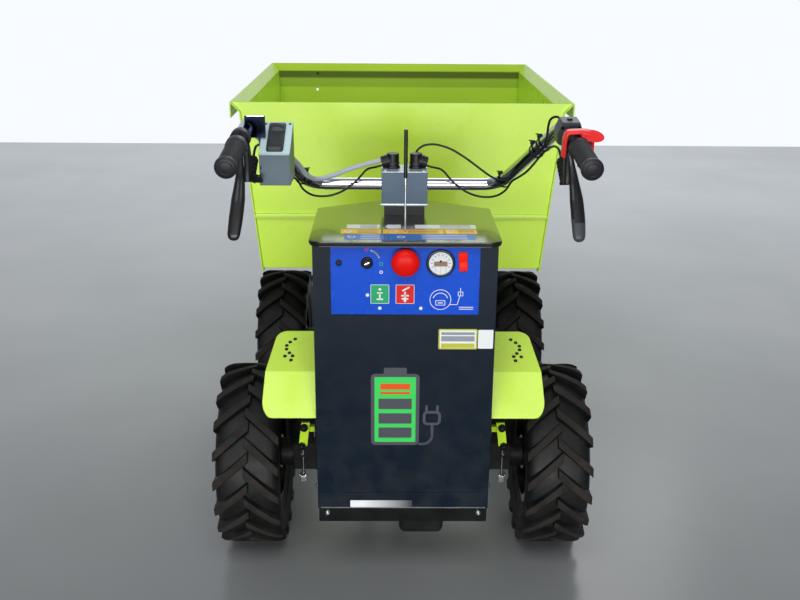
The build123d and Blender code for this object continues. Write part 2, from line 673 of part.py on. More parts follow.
def top_cover():
    """Glossy lid over the housing, with rounded rear corners."""
    half = HOUSING_HALF_WIDTH + COVER_SIDE_OVERHANG
    outline = plan(half, half, HOUSING_REAR_Y - COVER_REAR_OVERHANG, HOUSING_WAIST_Y + COVER_SIDE_OVERHANG,
                   HOUSING_NOSE_Y + COVER_SIDE_OVERHANG, HOUSING_NOSE_HALF)
    lid = prism_z(outline, HOUSING_TOP_Z, COVER_TOP_Z)
    corners = lid.edges().filter_by(Axis.Z).group_by(Axis.Y)[0]
    return fillet(corners, COVER_CORNER)


def battery_block():
    start = HOUSING_REAR_Y + HOUSING_SHEET + BATTERY_REAR_GAP
    return block(-BATTERY_WIDTH / 2, BATTERY_WIDTH / 2, start, start + BATTERY_LENGTH,
                 RAIL_TOP_Z, RAIL_TOP_Z + BATTERY_HEIGHT)


# ---- control plate ----
def control_plate():
    return block(-PLATE_HALF_WIDTH, PLATE_HALF_WIDTH, PANEL_FACE_Y, HOUSING_REAR_Y,
                 PLATE_BOTTOM_Z, PLATE_TOP_Z)


def panel_round(x, radius, depth):
    """A round fitting standing out of the control plate."""
    return rod((x, PANEL_FACE_Y, PANEL_ROW_Z), (x, PANEL_FACE_Y - depth, PANEL_ROW_Z), radius)


def stop_button():
    """Mushroom head on a neck."""
    neck = panel_round(0, STOP_NECK_RADIUS, STOP_NECK_LENGTH)
    start = PANEL_FACE_Y - STOP_NECK_LENGTH
    head = rod((0, start, PANEL_ROW_Z), (0, start - STOP_HEAD_LENGTH, PANEL_ROW_Z), STOP_RADIUS)
    crown = head.edges().group_by(Axis.Y)[0]
    return neck + fillet(crown, STOP_CROWN_ROUND)


def lamp_switch():
    half_x = LAMP_WIDTH / 2
    half_z = LAMP_HEIGHT / 2
    return block(LAMP_X - half_x, LAMP_X + half_x, PANEL_FACE_Y - LAMP_DEPTH, PANEL_FACE_Y,
                 PANEL_ROW_Z - half_z, PANEL_ROW_Z + half_z)


# ---- fenders and brake gear ----
def fenders():
    """Sheet guards over the rear wheels' inner halves, bent once across."""
    sheet = FENDER_SHEET
    profile = [(FENDER_LOW_Y, FENDER_LOW_Z), (FENDER_BEND_Y, FENDER_BEND_Z), (FENDER_TOP_Y, FENDER_TOP_Z),
               (FENDER_TOP_Y, FENDER_TOP_Z - sheet), (FENDER_BEND_Y + sheet / 2, FENDER_BEND_Z - sheet),
               (FENDER_LOW_Y + sheet, FENDER_LOW_Z)]
    bent = prism_x(profile, HOUSING_WAIST, FENDER_LOW_HALF)
    outline = prism_z([(side_bracket_inner(FENDER_LOW_Y), FENDER_LOW_Y), (FENDER_LOW_HALF, FENDER_LOW_Y),
                       (FENDER_BEND_HALF, FENDER_BEND_Y), (FENDER_TOP_HALF, FENDER_TOP_Y),
                       (side_bracket_inner(FENDER_TOP_Y), FENDER_TOP_Y)],
                      FENDER_LOW_Z - sheet, FENDER_TOP_Z + sheet)
    uprights = outline.edges().filter_by(Axis.Z)
    low_corner = uprights.sort_by(Axis.X)[-1]
    top_corner = uprights.sort_by(Axis.Y)[-2:].sort_by(Axis.X)[-1]
    return pair(bent & fillet([low_corner, top_corner], FENDER_CORNER))


def side_bracket_inner(y):
    """Where the housing's side sheet stands at a given Y."""
    foot_y = HOUSING_REAR_Y + HOUSING_SHEET
    slope = (HOUSING_HALF_WIDTH - HOUSING_WAIST) / (HOUSING_WAIST_Y - foot_y)
    return HOUSING_HALF_WIDTH - slope * (y - foot_y)


def axle_brackets():
    """Black plates outside the housing, standing on the rear axle's beam."""
    low = AXLE_Z + AXLE_BEAM / 2
    x_rear = side_bracket_inner(AXLE_BRACKET_REAR_Y)
    x_front = side_bracket_inner(HOUSING_WAIST_Y)
    thick = AXLE_BRACKET_THICKNESS
    return pair(prism_z([(x_rear, AXLE_BRACKET_REAR_Y), (x_rear + thick, AXLE_BRACKET_REAR_Y),
                         (x_front + thick, HOUSING_WAIST_Y), (x_front, HOUSING_WAIST_Y)],
                        low, AXLE_BRACKET_TOP_Z))


def brake_links():
    """Bell-crank bar, pull rod and clevis beside the housing."""
    half = LINK_WIDTH / 2
    lean = LINK_LEAN
    bar = prism_y([(LINK_X - half + lean, LINK_TOP_Z), (LINK_X + half + lean, LINK_TOP_Z),
                   (LINK_X + half, LINK_BOTTOM_Z), (LINK_X - half, LINK_BOTTOM_Z)],
                  LINK_Y - LINK_THICKNESS, LINK_Y)
    x_in = side_bracket_inner(LINK_Y) + AXLE_BRACKET_THICKNESS
    arm = block(x_in, LINK_X, LINK_Y, LINK_Y + LINK_ARM, LINK_TOP_Z - 2 * LINK_ARM, LINK_TOP_Z - LINK_ARM)
    pull = rod((LINK_X, LINK_Y - LINK_THICKNESS / 2, BRAKE_ROD_BOTTOM_Z),
               (LINK_X, LINK_Y - LINK_THICKNESS / 2, LINK_BOTTOM_Z), BRAKE_ROD_RADIUS)
    c = CLEVIS_SIZE / 2
    mid = LINK_Y - LINK_THICKNESS / 2
    clevis = block(LINK_X - c, LINK_X + c, mid - c, mid + c, BRAKE_ROD_BOTTOM_Z - CLEVIS_SIZE,
                   BRAKE_ROD_BOTTOM_Z)
    return pair(bar + arm + pull + clevis)


# ---- column and handlebar ----
def column_base():
    return block(-COLUMN_BASE_WIDTH / 2, COLUMN_BASE_WIDTH / 2, COLUMN_Y - COLUMN_BASE_DEPTH / 2,
                 COLUMN_Y + COLUMN_BASE_DEPTH / 2, COVER_TOP_Z, COLUMN_BOTTOM_Z)


def column_box():
    """Box that clamps the handlebar."""
    box = block(-COLUMN_WIDTH / 2, COLUMN_WIDTH / 2, COLUMN_Y - COLUMN_DEPTH / 2,
                COLUMN_Y + COLUMN_DEPTH / 2, COLUMN_BOTTOM_Z, COLUMN_TOP_Z)
    return box - rod((-COLUMN_WIDTH, BAR_Y, BAR_Z), (COLUMN_WIDTH, BAR_Y, BAR_Z), BAR_BORE)


def grip_place(side):
    """Frame of one grip: origin at its free end, X to the right, Y forward along the bar."""
    end = Vector(side * GRIP_END_X, GRIP_END_Y, GRIP_END_Z)
    bend = Vector(side * GRIP_BEND_X, GRIP_BEND_Y, GRIP_BEND_Z)
    along = (bend - end).normalized()
    right = Vector(along.Y, -along.X, 0)
    return Location(Plane(origin=end, x_dir=right, z_dir=right.cross(along)))


def grip_point(side, x, along, down):
    """A point given in a grip's frame, X counted away from the machine's middle."""
    return (grip_place(side) * Pos(side * x, along, -down)).position


def handlebar():
    """One bent tube from grip to grip."""
    tip = grip_point(1, 0, GRIP_CAP + FACE_GAP, 0)
    half = [(BAR_BEND_X, BAR_Y, BAR_Z), (GRIP_BEND_X, GRIP_BEND_Y, GRIP_BEND_Z), (tip.X, tip.Y, tip.Z)]
    corners = [(-x, y, z) for x, y, z in reversed(half)] + half
    path = FilletPolyline(*corners, radius=[GRIP_BEND_RADIUS, BAR_BEND_RADIUS,
                                            BAR_BEND_RADIUS, GRIP_BEND_RADIUS])
    section = Plane(origin=path @ 0, z_dir=path % 0)
    return sweep(section * (Circle(BAR_RADIUS) - Circle(BAR_RADIUS - BAR_WALL)), path=path)


def grips():
    """Rubber sleeves with an end ring and a closed end."""
    sleeve = rod((0, 0, 0), (0, GRIP_LENGTH, 0), GRIP_RADIUS)
    sleeve += rod((0, GRIP_RING_INSET, 0), (0, GRIP_RING_INSET + GRIP_RING_LENGTH, 0), GRIP_RING_RADIUS)
    sleeve -= rod((0, GRIP_CAP, 0), (0, GRIP_LENGTH, 0), BAR_BORE)
    return pair(grip_place(1) * sleeve)


def gland_mouth():
    """Middle of the right gland's mouth and the way it points."""
    lean = radians(GLAND_TILT)
    way = Vector(cos(lean), 0, -sin(lean))
    elbow = Vector(GLAND_X, BAR_Y, COLUMN_TOP_Z + GLAND_HEIGHT - GLAND_RADIUS)
    return elbow + way * GLAND_ARM, way


def cable_glands():
    """Elbow glands on the column box, their mouths to the sides."""
    mouth, way = gland_mouth()
    gland = rod((GLAND_X, BAR_Y, COLUMN_TOP_Z), (GLAND_X, BAR_Y, COLUMN_TOP_Z + GLAND_HEIGHT), GLAND_RADIUS)
    return pair(gland + rod(mouth - way * GLAND_ARM, mouth, GLAND_MOUTH_RADIUS))


def whip_rod():
    """Thin upright rod with a sleeve on its upper part."""
    thin = rod((0, WHIP_Y, COVER_TOP_Z), (0, WHIP_Y, WHIP_TOP_Z - WHIP_TIP_RECESS), WHIP_RADIUS)
    return thin + rod((0, WHIP_Y, WHIP_TOP_Z - WHIP_SLEEVE_LENGTH), (0, WHIP_Y, WHIP_TOP_Z),
                      WHIP_SLEEVE_RADIUS)


# ---- controls on the handlebar ----
def mount_place(side):
    """A grip's frame, turned about the bar as that side's lever mount is."""
    return grip_place(side) * Rot(0, MOUNT_TURN[side], 0)


def boot_place(side):
    """Frame of a cable boot: origin at its foot, Z along it."""
    return mount_place(side) * Pos(side * BOOT_X, BOOT_ALONG, -BOOT_DROP) * Rot(-BOOT_TILT, 0, 0)


def bar_brackets():
    """Clamp rings with the hangers that the brake levers and cable boots sit on."""
    slot = HANGER_HALF - HANGER_CHEEK
    mount_end = MOUNT_START + MOUNT_LENGTH
    ring = rod((0, MOUNT_START, 0), (0, mount_end, 0), MOUNT_RADIUS)
    hanger = prism_x([(MOUNT_START, -HANGER_TOP), (mount_end, -HANGER_TOP),
                      (HANGER_REAR + HANGER_DEPTH, -HANGER_DROP), (HANGER_REAR, -HANGER_DROP)],
                     -HANGER_HALF, HANGER_HALF)
    hanger -= block(-slot, slot, 0, 2 * MOUNT_START, -2 * HANGER_DROP, -HANGER_SLOT_TOP)
    pin = rod((-HANGER_HALF, LEVER_PIN_ALONG, -LEVER_PIN_DROP),
              (HANGER_HALF, LEVER_PIN_ALONG, -LEVER_PIN_DROP), LEVER_PIN_RADIUS)
    plain = ring + hanger + pin - rod((0, HANGER_REAR, 0), (0, mount_end, 0), BAR_BORE)
    foot = block(BOOT_X - BOOT_RIB_RADIUS, -slot, HANGER_REAR, BOOT_ALONG, -HANGER_DROP, -BOOT_DROP)
    seat = Box(2 * BOOT_RIB_RADIUS, 2 * BOOT_RIB_RADIUS, BOOT_STOP)
    brackets = []
    for _, side in SIDES:
        handed_foot = foot if side > 0 else mirrored(foot)
        bracket = mount_place(side) * (plain + handed_foot)
        brackets.append(bracket + boot_place(side) * Pos(0, 0, -BOOT_STOP / 2) * seat)
    return Compound(children=brackets)


def cable_boots():
    """Ribbed rubber boots where the brake cables end."""
    boot = Cylinder(BOOT_RADIUS, BOOT_LENGTH, align=(Align.CENTER, Align.CENTER, Align.MIN))
    pitch = BOOT_LENGTH / BOOT_RIBS
    rib = Cylinder(BOOT_RIB_RADIUS, pitch / 2, align=(Align.CENTER, Align.CENTER, Align.MIN))
    boot += [Pos(0, 0, pitch * i) * rib for i in range(BOOT_RIBS)]
    return Compound(children=[boot_place(side) * boot for _, side in SIDES])


def brake_levers():
    """Levers hanging below the bar, each on its hanger's pin."""
    far = [(LEVER_TOP_ALONG, -LEVER_TOP), (LEVER_KNEE_ALONG, -LEVER_KNEE), (LEVER_TIP_ALONG, -LEVER_TIP)]
    near = [(y - LEVER_DEPTH, z) for y, z in reversed(far)]
    blade = prism_x(far + near, -LEVER_HALF, LEVER_HALF)
    blade -= rod((-LEVER_HALF, LEVER_PIN_ALONG, -LEVER_PIN_DROP),
                 (LEVER_HALF, LEVER_PIN_ALONG, -LEVER_PIN_DROP), LEVER_PIN_RADIUS + RUNNING_GAP)
    return Compound(children=[mount_place(side) * blade for _, side in SIDES])


def throttle_lever():
    """Saddle over the right bar with a thumb wing outboard."""
    r = THROTTLE_RADIUS
    slot = THROTTLE_SLOT
    end = THROTTLE_START + THROTTLE_LENGTH
    saddle = prism_y([(-r, -r), (-slot, -r), (-slot, 0), (slot, 0), (slot, -r), (r, -r), (r, r / 2),
                      (r / 2, r), (-r / 2, r), (-r, r / 2)], THROTTLE_START, end)
    wing = prism_y([(r, WING_HEIGHT / 2), (WING_REACH, 0), (WING_REACH, WING_HEIGHT), (r, r)],
                   THROTTLE_START, THROTTLE_START + WING_LENGTH)
    return grip_place(1) * (saddle + wing - rod((0, THROTTLE_START, 0), (0, end, 0), BAR_BORE))


def boss_end():
    """Foot and mouth of the cable boss on the switch housing, and the way it points."""
    foot = grip_point(1, BOSS_FOOT_X, BOSS_FOOT_ALONG, -BOSS_FOOT_RISE)
    mouth = grip_point(1, BOSS_MOUTH_X, BOSS_MOUTH_ALONG, -BOSS_MOUTH_RISE)
    return foot, mouth, (mouth - foot).normalized()


def switch_housing():
    """Housing clamped round the right bar, with a boss for its cable."""
    end = HOUSING_START + HOUSING_LENGTH
    inner = -HOUSING_INBOARD
    side = HOUSING_DROP / 2
    shell = prism_y([(inner / 2, -HOUSING_DROP), (HOUSING_OUTBOARD, -HOUSING_DROP), (HOUSING_OUTBOARD, side),
                     (HOUSING_OUTBOARD - HOUSING_BEVEL, HOUSING_RISE), (HOUSING_BEVEL + inner, HOUSING_RISE),
                     (inner, side), (inner, -side)], HOUSING_START, end)
    shell -= rod((0, HOUSING_START, 0), (0, end, 0), BAR_BORE)
    foot, mouth, _ = boss_end()
    return grip_place(1) * shell + rod(foot, mouth, BOSS_RADIUS)


def box_top(y):
    """Height of the tip switch box's slanting top at a given Y."""
    return BOX_BOTTOM_Z + BOX_NEAR_HEIGHT + (y - BOX_NEAR_Y) * (BOX_FAR_HEIGHT - BOX_NEAR_HEIGHT) / BOX_DEPTH


def tip_switch_box():
    return prism_x([(BOX_NEAR_Y, BOX_BOTTOM_Z), (BOX_FAR_Y, BOX_BOTTOM_Z), (BOX_FAR_Y, box_top(BOX_FAR_Y)),
                    (BOX_NEAR_Y, box_top(BOX_NEAR_Y))], BOX_LEFT_X, BOX_RIGHT_X)


def tip_rocker():
    """Large rocker along the box's slanting top, its far end raised."""
    near = BOX_NEAR_Y + ROCKER_MARGIN
    far = BOX_FAR_Y - ROCKER_MARGIN
    middle = (near + far) / 2
    centre_x = (BOX_LEFT_X + BOX_RIGHT_X) / 2
    outline = [(near, box_top(near)), (far, box_top(far)), (far, box_top(far) + ROCKER_RISE),
               (middle, box_top(middle) + ROCKER_RISE / 2), (near, box_top(near) + ROCKER_RISE / 2)]
    return prism_x(outline, centre_x - ROCKER_WIDTH / 2, centre_x + ROCKER_WIDTH / 2)


def switch_bracket():
    """Plate from the left bar to the tip switch box, with a tab against the box's side."""
    axis = grip_point(-1, 0, BRACKET_ALONG, 0)
    tab_x = BOX_LEFT_X - BRACKET_SHEET
    near = axis.Y - BRACKET_SHEET
    plate = block(axis.X, tab_x + BRACKET_OVERLAP, near, axis.Y,
                  axis.Z - BRACKET_DROP, axis.Z + BRACKET_RISE)
    plate -= tip_switch_box()
    tab = block(tab_x, BOX_LEFT_X, near, axis.Y + TAB_LENGTH, axis.Z - TAB_DROP, axis.Z)
    start = grip_point(-1, 0, 0, 0)
    return plate + tab - rod(start, start + (axis - start) * 2, BAR_BORE)


# ---- cables ----
def off_bar(x, forward, above):
    """A point given from the straight part of the bar."""
    return Vector(x, BAR_Y + forward, BAR_Z + above)


def arm_point(side, run, down, inboard):
    """A point beside the slanting arm of the bar: run up from its lower corner, then across it."""
    low = Vector(BAR_BEND_X, BAR_Y, BAR_Z)
    along = (Vector(GRIP_BEND_X, GRIP_BEND_Y, GRIP_BEND_Z) - low).normalized()
    across = Vector(-along.Y, along.X, 0).normalized()
    under = across.cross(along)
    under = under if under.Z < 0 else -under
    point = low + along * run + under * down - across * inboard
    return Vector(side * point.X, point.Y, point.Z)


def cable(name, corners, radius):
    """Round cord along its corners, each rounded as far as the shorter run beside it allows."""
    radii = []
    for before, corner, after in zip(corners, corners[1:], corners[2:]):
        half_turn = radians((corner - before).get_angle(after - corner) / 2)
        shorter = min((corner - before).length, (after - corner).length)
        radii.append(CORNER_SHARE * shorter / tan(half_turn))
    print(name, "corner radii", [round(r, 1) for r in radii])
    path = FilletPolyline(*corners, radius=radii)
    return sweep(Plane(origin=path @ 0, z_dir=path % 0) * Circle(radius), path=path)


def mouth_point(side, seat):
    """A place on a gland's mouth, the seat counted down from its middle, and the way out of it."""
    mouth, way = gland_mouth()
    point = mouth - Vector(-way.Z, 0, way.X) * seat
    return Vector(side * point.X, point.Y, point.Z), Vector(side * way.X, 0, way.Z)


def brake_cables():
    """From each gland under the bar, along the arm's underside and into the boot."""
    under = BAR_RADIUS + THIN_RADIUS + BAR_CLEARANCE
    cords = []
    for side_name, side in SIDES:
        start, way = mouth_point(side, THIN_SEAT)
        top = (boot_place(side) * Pos(0, 0, BOOT_LENGTH)).position
        before_top = (boot_place(side) * Pos(0, 0, BOOT_LENGTH + BOOT_LEAD)).position
        corners = [start, start + way * THIN_LEAD]
        corners += [off_bar(side * x, y, z) for x, y, z in UNDER_BAR]
        corners += [arm_point(side, run, under + sag, 0) for run, sag in UNDER_ARM]
        corners += [off_bar(side * x, y, z) for x, y, z in UNDER_GRIP]
        corners += [before_top, top]
        cords.append(cable(f"{side_name} brake cable", corners, THIN_RADIUS))
    return cords


def switch_cable():
    """From the column box's top, over and down to the right arm and into the switch housing."""
    beside = BAR_RADIUS + THIN_RADIUS + BAR_CLEARANCE
    foot, mouth, way = boss_end()
    low = beside * cos(radians(SWITCH_CABLE_TURN))
    inboard = beside * sin(radians(SWITCH_CABLE_TURN))
    over = [off_bar(*point) for point in OVER_BAR]
    corners = [Vector(over[0].X, over[0].Y, COLUMN_TOP_Z)] + over
    corners += [arm_point(1, run, low + bulge, inboard + bulge) for run, bulge in BESIDE_ARM]
    corners += [off_bar(*point) for point in BESIDE_GRIP]
    corners += [mouth + way * BOSS_LEAD, mouth]
    return cable("switch cable", corners, THIN_RADIUS)


def tip_switch_conduit():
    """From the left gland along the arm's inner side to the tip switch box."""
    start, way = mouth_point(-1, -CONDUIT_SEAT)
    inboard = BAR_RADIUS + CONDUIT_RADIUS + BAR_CLEARANCE
    corners = [start, start + way * CONDUIT_LEAD]
    corners += [off_bar(*point) for point in CONDUIT_LOW]
    corners += [arm_point(-1, run, 0, inboard) for run in CONDUIT_ARM]
    corners += [off_bar(*point) for point in CONDUIT_HIGH]
    return cable("tip switch conduit", corners, CONDUIT_RADIUS)


# ---- skip ----
def skip_slope():
    return (SKIP_TOP_HALF - SKIP_FLOOR_HALF) / (SKIP_WALL_TOP_Z - SKIP_FLOOR_Z)


def skip_half(z):
    """Half the skip's outer width at a height."""
    return SKIP_FLOOR_HALF + skip_slope() * (z - SKIP_FLOOR_Z)


def between_sides(solid):
    """What of a solid lies inside the two side walls."""
    low = SKIP_FLOOR_Z - SKIP_SIDE_DROP
    high = SKIP_WALL_TOP_Z
    inner = prism_y([(-skip_half(low) + SKIP_SHEET, low), (skip_half(low) - SKIP_SHEET, low),
                     (skip_half(high) - SKIP_SHEET, high), (-skip_half(high) + SKIP_SHEET, high)],
                    SKIP_REAR_Y - 2 * HEM_DEPTH, SKIP_WALL_FRONT_Y)
    return solid & inner


def skip_side():
    """The right side wall, with its flared rim and lip."""
    low = SKIP_FLOOR_Z - SKIP_SIDE_DROP
    high = SKIP_WALL_TOP_Z
    rear = SKIP_REAR_Y - SKIP_SIDE_OVERLAP
    slab = prism_y([(skip_half(low) - SKIP_SHEET, low), (skip_half(low), low),
                    (skip_half(high), high), (skip_half(high) - SKIP_SHEET, high)],
                   rear, SKIP_WALL_FRONT_Y)
    shape = prism_x([(rear, low), (SKIP_FLOOR_FRONT_Y, low), (SKIP_FLOOR_FRONT_Y, SKIP_FLOOR_Z),
                     (SKIP_KNEE_Y, SKIP_KNEE_Z), (SKIP_WALL_FRONT_Y, high), (rear, high)], 0, SKIP_FAR)
    return (slab & shape) + (rim_ring() & side_share())


def side_share():
    """The part of the rim that belongs to the right wall: outside a mitre at the corner."""
    x0 = SKIP_TOP_HALF - SKIP_SHEET
    y0 = SKIP_WALL_FRONT_Y - SKIP_SHEET
    rear = SKIP_REAR_Y - SKIP_SIDE_OVERLAP
    far = 2 * SKIP_RIM_OUT
    return prism_z([(x0 - far, rear), (x0 + far, rear), (x0 + far, y0 + far), (x0, y0), (x0 - far, y0)],
                   SKIP_RIM_Z - SKIP_RIM_LIP, SKIP_RIM_Z)


def frustum(x_low, y_low, x_high, y_high, z0, z1, rear):
    """Four-sided flare, upright at the rear."""
    low = Plane.XY.offset(z0) * make_face(Polyline((-x_low, rear), (x_low, rear), (x_low, y_low),
                                                  (-x_low, y_low), close=True))
    high = Plane.XY.offset(z1) * make_face(Polyline((-x_high, rear), (x_high, rear), (x_high, y_high),
                                                   (-x_high, y_high), close=True))
    return loft([low, high], ruled=True)


def rim_ring():
    """Flare and hanging lip round both sides and the front, open at the rear."""
    rear = SKIP_REAR_Y - SKIP_SIDE_OVERLAP
    x0 = SKIP_TOP_HALF
    y0 = SKIP_WALL_FRONT_Y
    out = SKIP_RIM_OUT
    t = SKIP_SHEET
    flare = frustum(x0, y0, x0 + out, y0 + out, SKIP_WALL_TOP_Z, SKIP_RIM_Z, rear)
    flare -= frustum(x0 - t, y0 - t, x0 + out - t, y0 + out - t, SKIP_WALL_TOP_Z, SKIP_RIM_Z, rear - t)
    x1 = x0 + out
    y1 = y0 + out
    low = SKIP_RIM_Z - SKIP_RIM_LIP
    lip = block(-x1, x1, rear, y1, low, SKIP_RIM_Z)
    lip -= block(t - x1, x1 - t, rear - t, y1 - t, low, SKIP_RIM_Z)
    return flare + lip


def skip_front():
    """Sloping front wall, its upright strip and the front rim."""
    t = SKIP_SHEET
    outline = [(SKIP_FLOOR_FRONT_Y, SKIP_FLOOR_Z), (SKIP_KNEE_Y, SKIP_KNEE_Z),
               (SKIP_WALL_FRONT_Y, SKIP_WALL_TOP_Z), (SKIP_WALL_FRONT_Y - t, SKIP_WALL_TOP_Z),
               (SKIP_KNEE_Y - t * 1.1, SKIP_KNEE_Z + 0.3 * t), (SKIP_FLOOR_FRONT_Y - t, SKIP_FLOOR_Z + t)]
    wall = between_sides(prism_x(outline, -SKIP_FAR, SKIP_FAR))
    strip_mid = (SKIP_KNEE_Y + SKIP_WALL_FRONT_Y) / 2
    reach = SKIP_STRIP_REACH
    high = rod((HOLE_X, strip_mid - reach, SKIP_WALL_TOP_Z - HOLE_DROP),
               (HOLE_X, strip_mid + reach, SKIP_WALL_TOP_Z - HOLE_DROP), HOLE_RADIUS)
    low = rod((HOLE_X, strip_mid - 2 * reach, SKIP_KNEE_Z - HOLE_DROP),
              (HOLE_X, strip_mid + reach, SKIP_KNEE_Z - HOLE_DROP), HOLE_RADIUS)
    rim = rim_ring() - side_share() - mirrored(side_share())
    return (wall - high - low) + rim


def skip_rear():
    """Rear wall with the pressed rib across it."""
    t = SKIP_SHEET
    wall = block(-SKIP_FAR, SKIP_FAR, SKIP_REAR_Y, SKIP_REAR_Y + t, SKIP_FLOOR_Z, SKIP_WALL_TOP_Z)
    top = prism_y([(-SKIP_TOP_HALF + t, SKIP_WALL_TOP_Z), (SKIP_TOP_HALF - t, SKIP_WALL_TOP_Z),
                   (SKIP_TOP_HALF + SKIP_RIM_OUT - t, SKIP_RIM_Z),
                   (t - SKIP_TOP_HALF - SKIP_RIM_OUT, SKIP_RIM_Z)],
                  SKIP_REAR_Y, SKIP_REAR_Y + t)
    rib = block(-SKIP_FAR, SKIP_FAR, SKIP_REAR_Y - HEM_DEPTH, SKIP_REAR_Y,
                HEM_Z - HEM_HEIGHT / 2, HEM_Z + HEM_HEIGHT / 2)
    return between_sides(wall + rib) + top


def skip_floor():
    t = SKIP_SHEET
    plate = prism_x([(SKIP_REAR_Y + t, SKIP_FLOOR_Z), (SKIP_FLOOR_FRONT_Y, SKIP_FLOOR_Z),
                     (SKIP_FLOOR_FRONT_Y - t, SKIP_FLOOR_Z + t), (SKIP_REAR_Y + t, SKIP_FLOOR_Z + t)],
                    -SKIP_FAR, SKIP_FAR)
    return between_sides(plate)


def skip_brackets():
    """Pivot lugs and the actuator's front ears, under the floor."""
    half = PIVOT_LUG_THICKNESS / 2
    outline = [(PIVOT_Y - PIVOT_LUG_LENGTH, SKIP_FLOOR_Z), (PIVOT_Y - PIVOT_EYE_RADIUS, PIVOT_Z),
               (PIVOT_Y + PIVOT_EYE_RADIUS, PIVOT_Z), (SKIP_FLOOR_FRONT_Y, SKIP_FLOOR_Z)]
    lug = prism_x(outline, RAIL_MIDDLE - half, RAIL_MIDDLE + half)
    lug += rod((RAIL_MIDDLE - half, PIVOT_Y, PIVOT_Z), (RAIL_MIDDLE + half, PIVOT_Y, PIVOT_Z),
               PIVOT_EYE_RADIUS)
    lug -= rod((RAIL_MIDDLE - half, PIVOT_Y, PIVOT_Z), (RAIL_MIDDLE + half, PIVOT_Y, PIVOT_Z),
               PIVOT_PIN_RADIUS + RUNNING_GAP)
    inner = ACTUATOR_EYE_WIDTH / 2 + ACTUATOR_EAR_GAP
    foot = ACTUATOR_EAR_LENGTH / 2
    ear = prism_x([(ACTUATOR_EYE_Y - foot, SKIP_FLOOR_Z),
                   (ACTUATOR_EYE_Y - ACTUATOR_EYE_RADIUS, ACTUATOR_EYE_Z),
                   (ACTUATOR_EYE_Y + ACTUATOR_EYE_RADIUS, ACTUATOR_EYE_Z),
                   (ACTUATOR_EYE_Y + foot, SKIP_FLOOR_Z)],
                  inner, inner + ACTUATOR_EAR_THICKNESS)
    ear += rod((inner, ACTUATOR_EYE_Y, ACTUATOR_EYE_Z),
               (inner + ACTUATOR_EAR_THICKNESS, ACTUATOR_EYE_Y, ACTUATOR_EYE_Z), ACTUATOR_EYE_RADIUS)
    return Compound(children=[lug, mirrored(lug), ear, mirrored(ear)])


# ---- actuator ----
def actuator_line():
    """Rear pin, front eye and the unit vector between them."""
    base = Vector(0, ACTUATOR_BASE_Y, ACTUATOR_BASE_Z)
    eye = Vector(0, ACTUATOR_EYE_Y, ACTUATOR_EYE_Z)
    return base, eye, (eye - base).normalized()


def cross_eye(centre, radius, width):
    return rod(centre - Vector(width / 2, 0, 0), centre + Vector(width / 2, 0, 0), radius)


def actuator_body():
    """Tail eye, gearbox, screw tube and the motor slung under it."""
    base, eye, along = actuator_line()
    down = along.cross(Vector(1, 0, 0))
    width = ACTUATOR_EYE_WIDTH
    tube_end = ACTUATOR_TUBE_START + ACTUATOR_TUBE_LENGTH
    box_end = ACTUATOR_GEARBOX_START + ACTUATOR_GEARBOX_LENGTH
    bottom = ACTUATOR_MOTOR_OFFSET + ACTUATOR_MOTOR_RADIUS
    corners = [base + along * run + down * drop
               for run, drop in ((ACTUATOR_GEARBOX_START, -ACTUATOR_RADIUS), (box_end, -ACTUATOR_RADIUS),
                                 (box_end, bottom), (ACTUATOR_GEARBOX_START, bottom))]
    gearbox = prism_x([(corner.Y, corner.Z) for corner in corners], -ACTUATOR_RADIUS, ACTUATOR_RADIUS)
    axis = base + down * ACTUATOR_MOTOR_OFFSET
    motor = rod(axis + along * box_end, axis + along * (box_end + ACTUATOR_MOTOR_LENGTH),
                ACTUATOR_MOTOR_RADIUS)
    tail = cross_eye(base, ACTUATOR_EYE_RADIUS, width) + rod(base, base + along * box_end, width / 2)
    tube = rod(base + along * ACTUATOR_TUBE_START, base + along * tube_end, ACTUATOR_RADIUS)
    screw_bore = rod(base + along * ACTUATOR_BORE_START, base + along * tube_end,
                     ACTUATOR_ROD_RADIUS + RUNNING_GAP)
    pin_bore = cross_eye(base, ACTUATOR_PIN_RADIUS + RUNNING_GAP, width)
    return tail + gearbox + motor + tube - screw_bore - pin_bore


def actuator_rod():
    """Push rod with the front eye and its pin."""
    base, eye, along = actuator_line()
    bar = rod(base + along * ACTUATOR_ROD_START, eye, ACTUATOR_ROD_RADIUS)
    head = cross_eye(eye, ACTUATOR_EYE_RADIUS, ACTUATOR_EYE_WIDTH)
    pin = cross_eye(eye, ACTUATOR_PIN_RADIUS, ACTUATOR_EYE_WIDTH + ACTUATOR_EAR_GAP)
    return bar + head + pin


TYRE = tyre()
for axle_name, axle_y, case_rear in AXLES:
    save(f"{axle_name}_axle", axle(axle_y, case_rear))
    for side_name, side in SIDES:
        centre = (side * TRACK / 2, axle_y, AXLE_Z)
        save(f"{axle_name}_{side_name}_tyre", Pos(*centre) * TYRE)
        save(f"{axle_name}_{side_name}_rim", rim(centre, side))

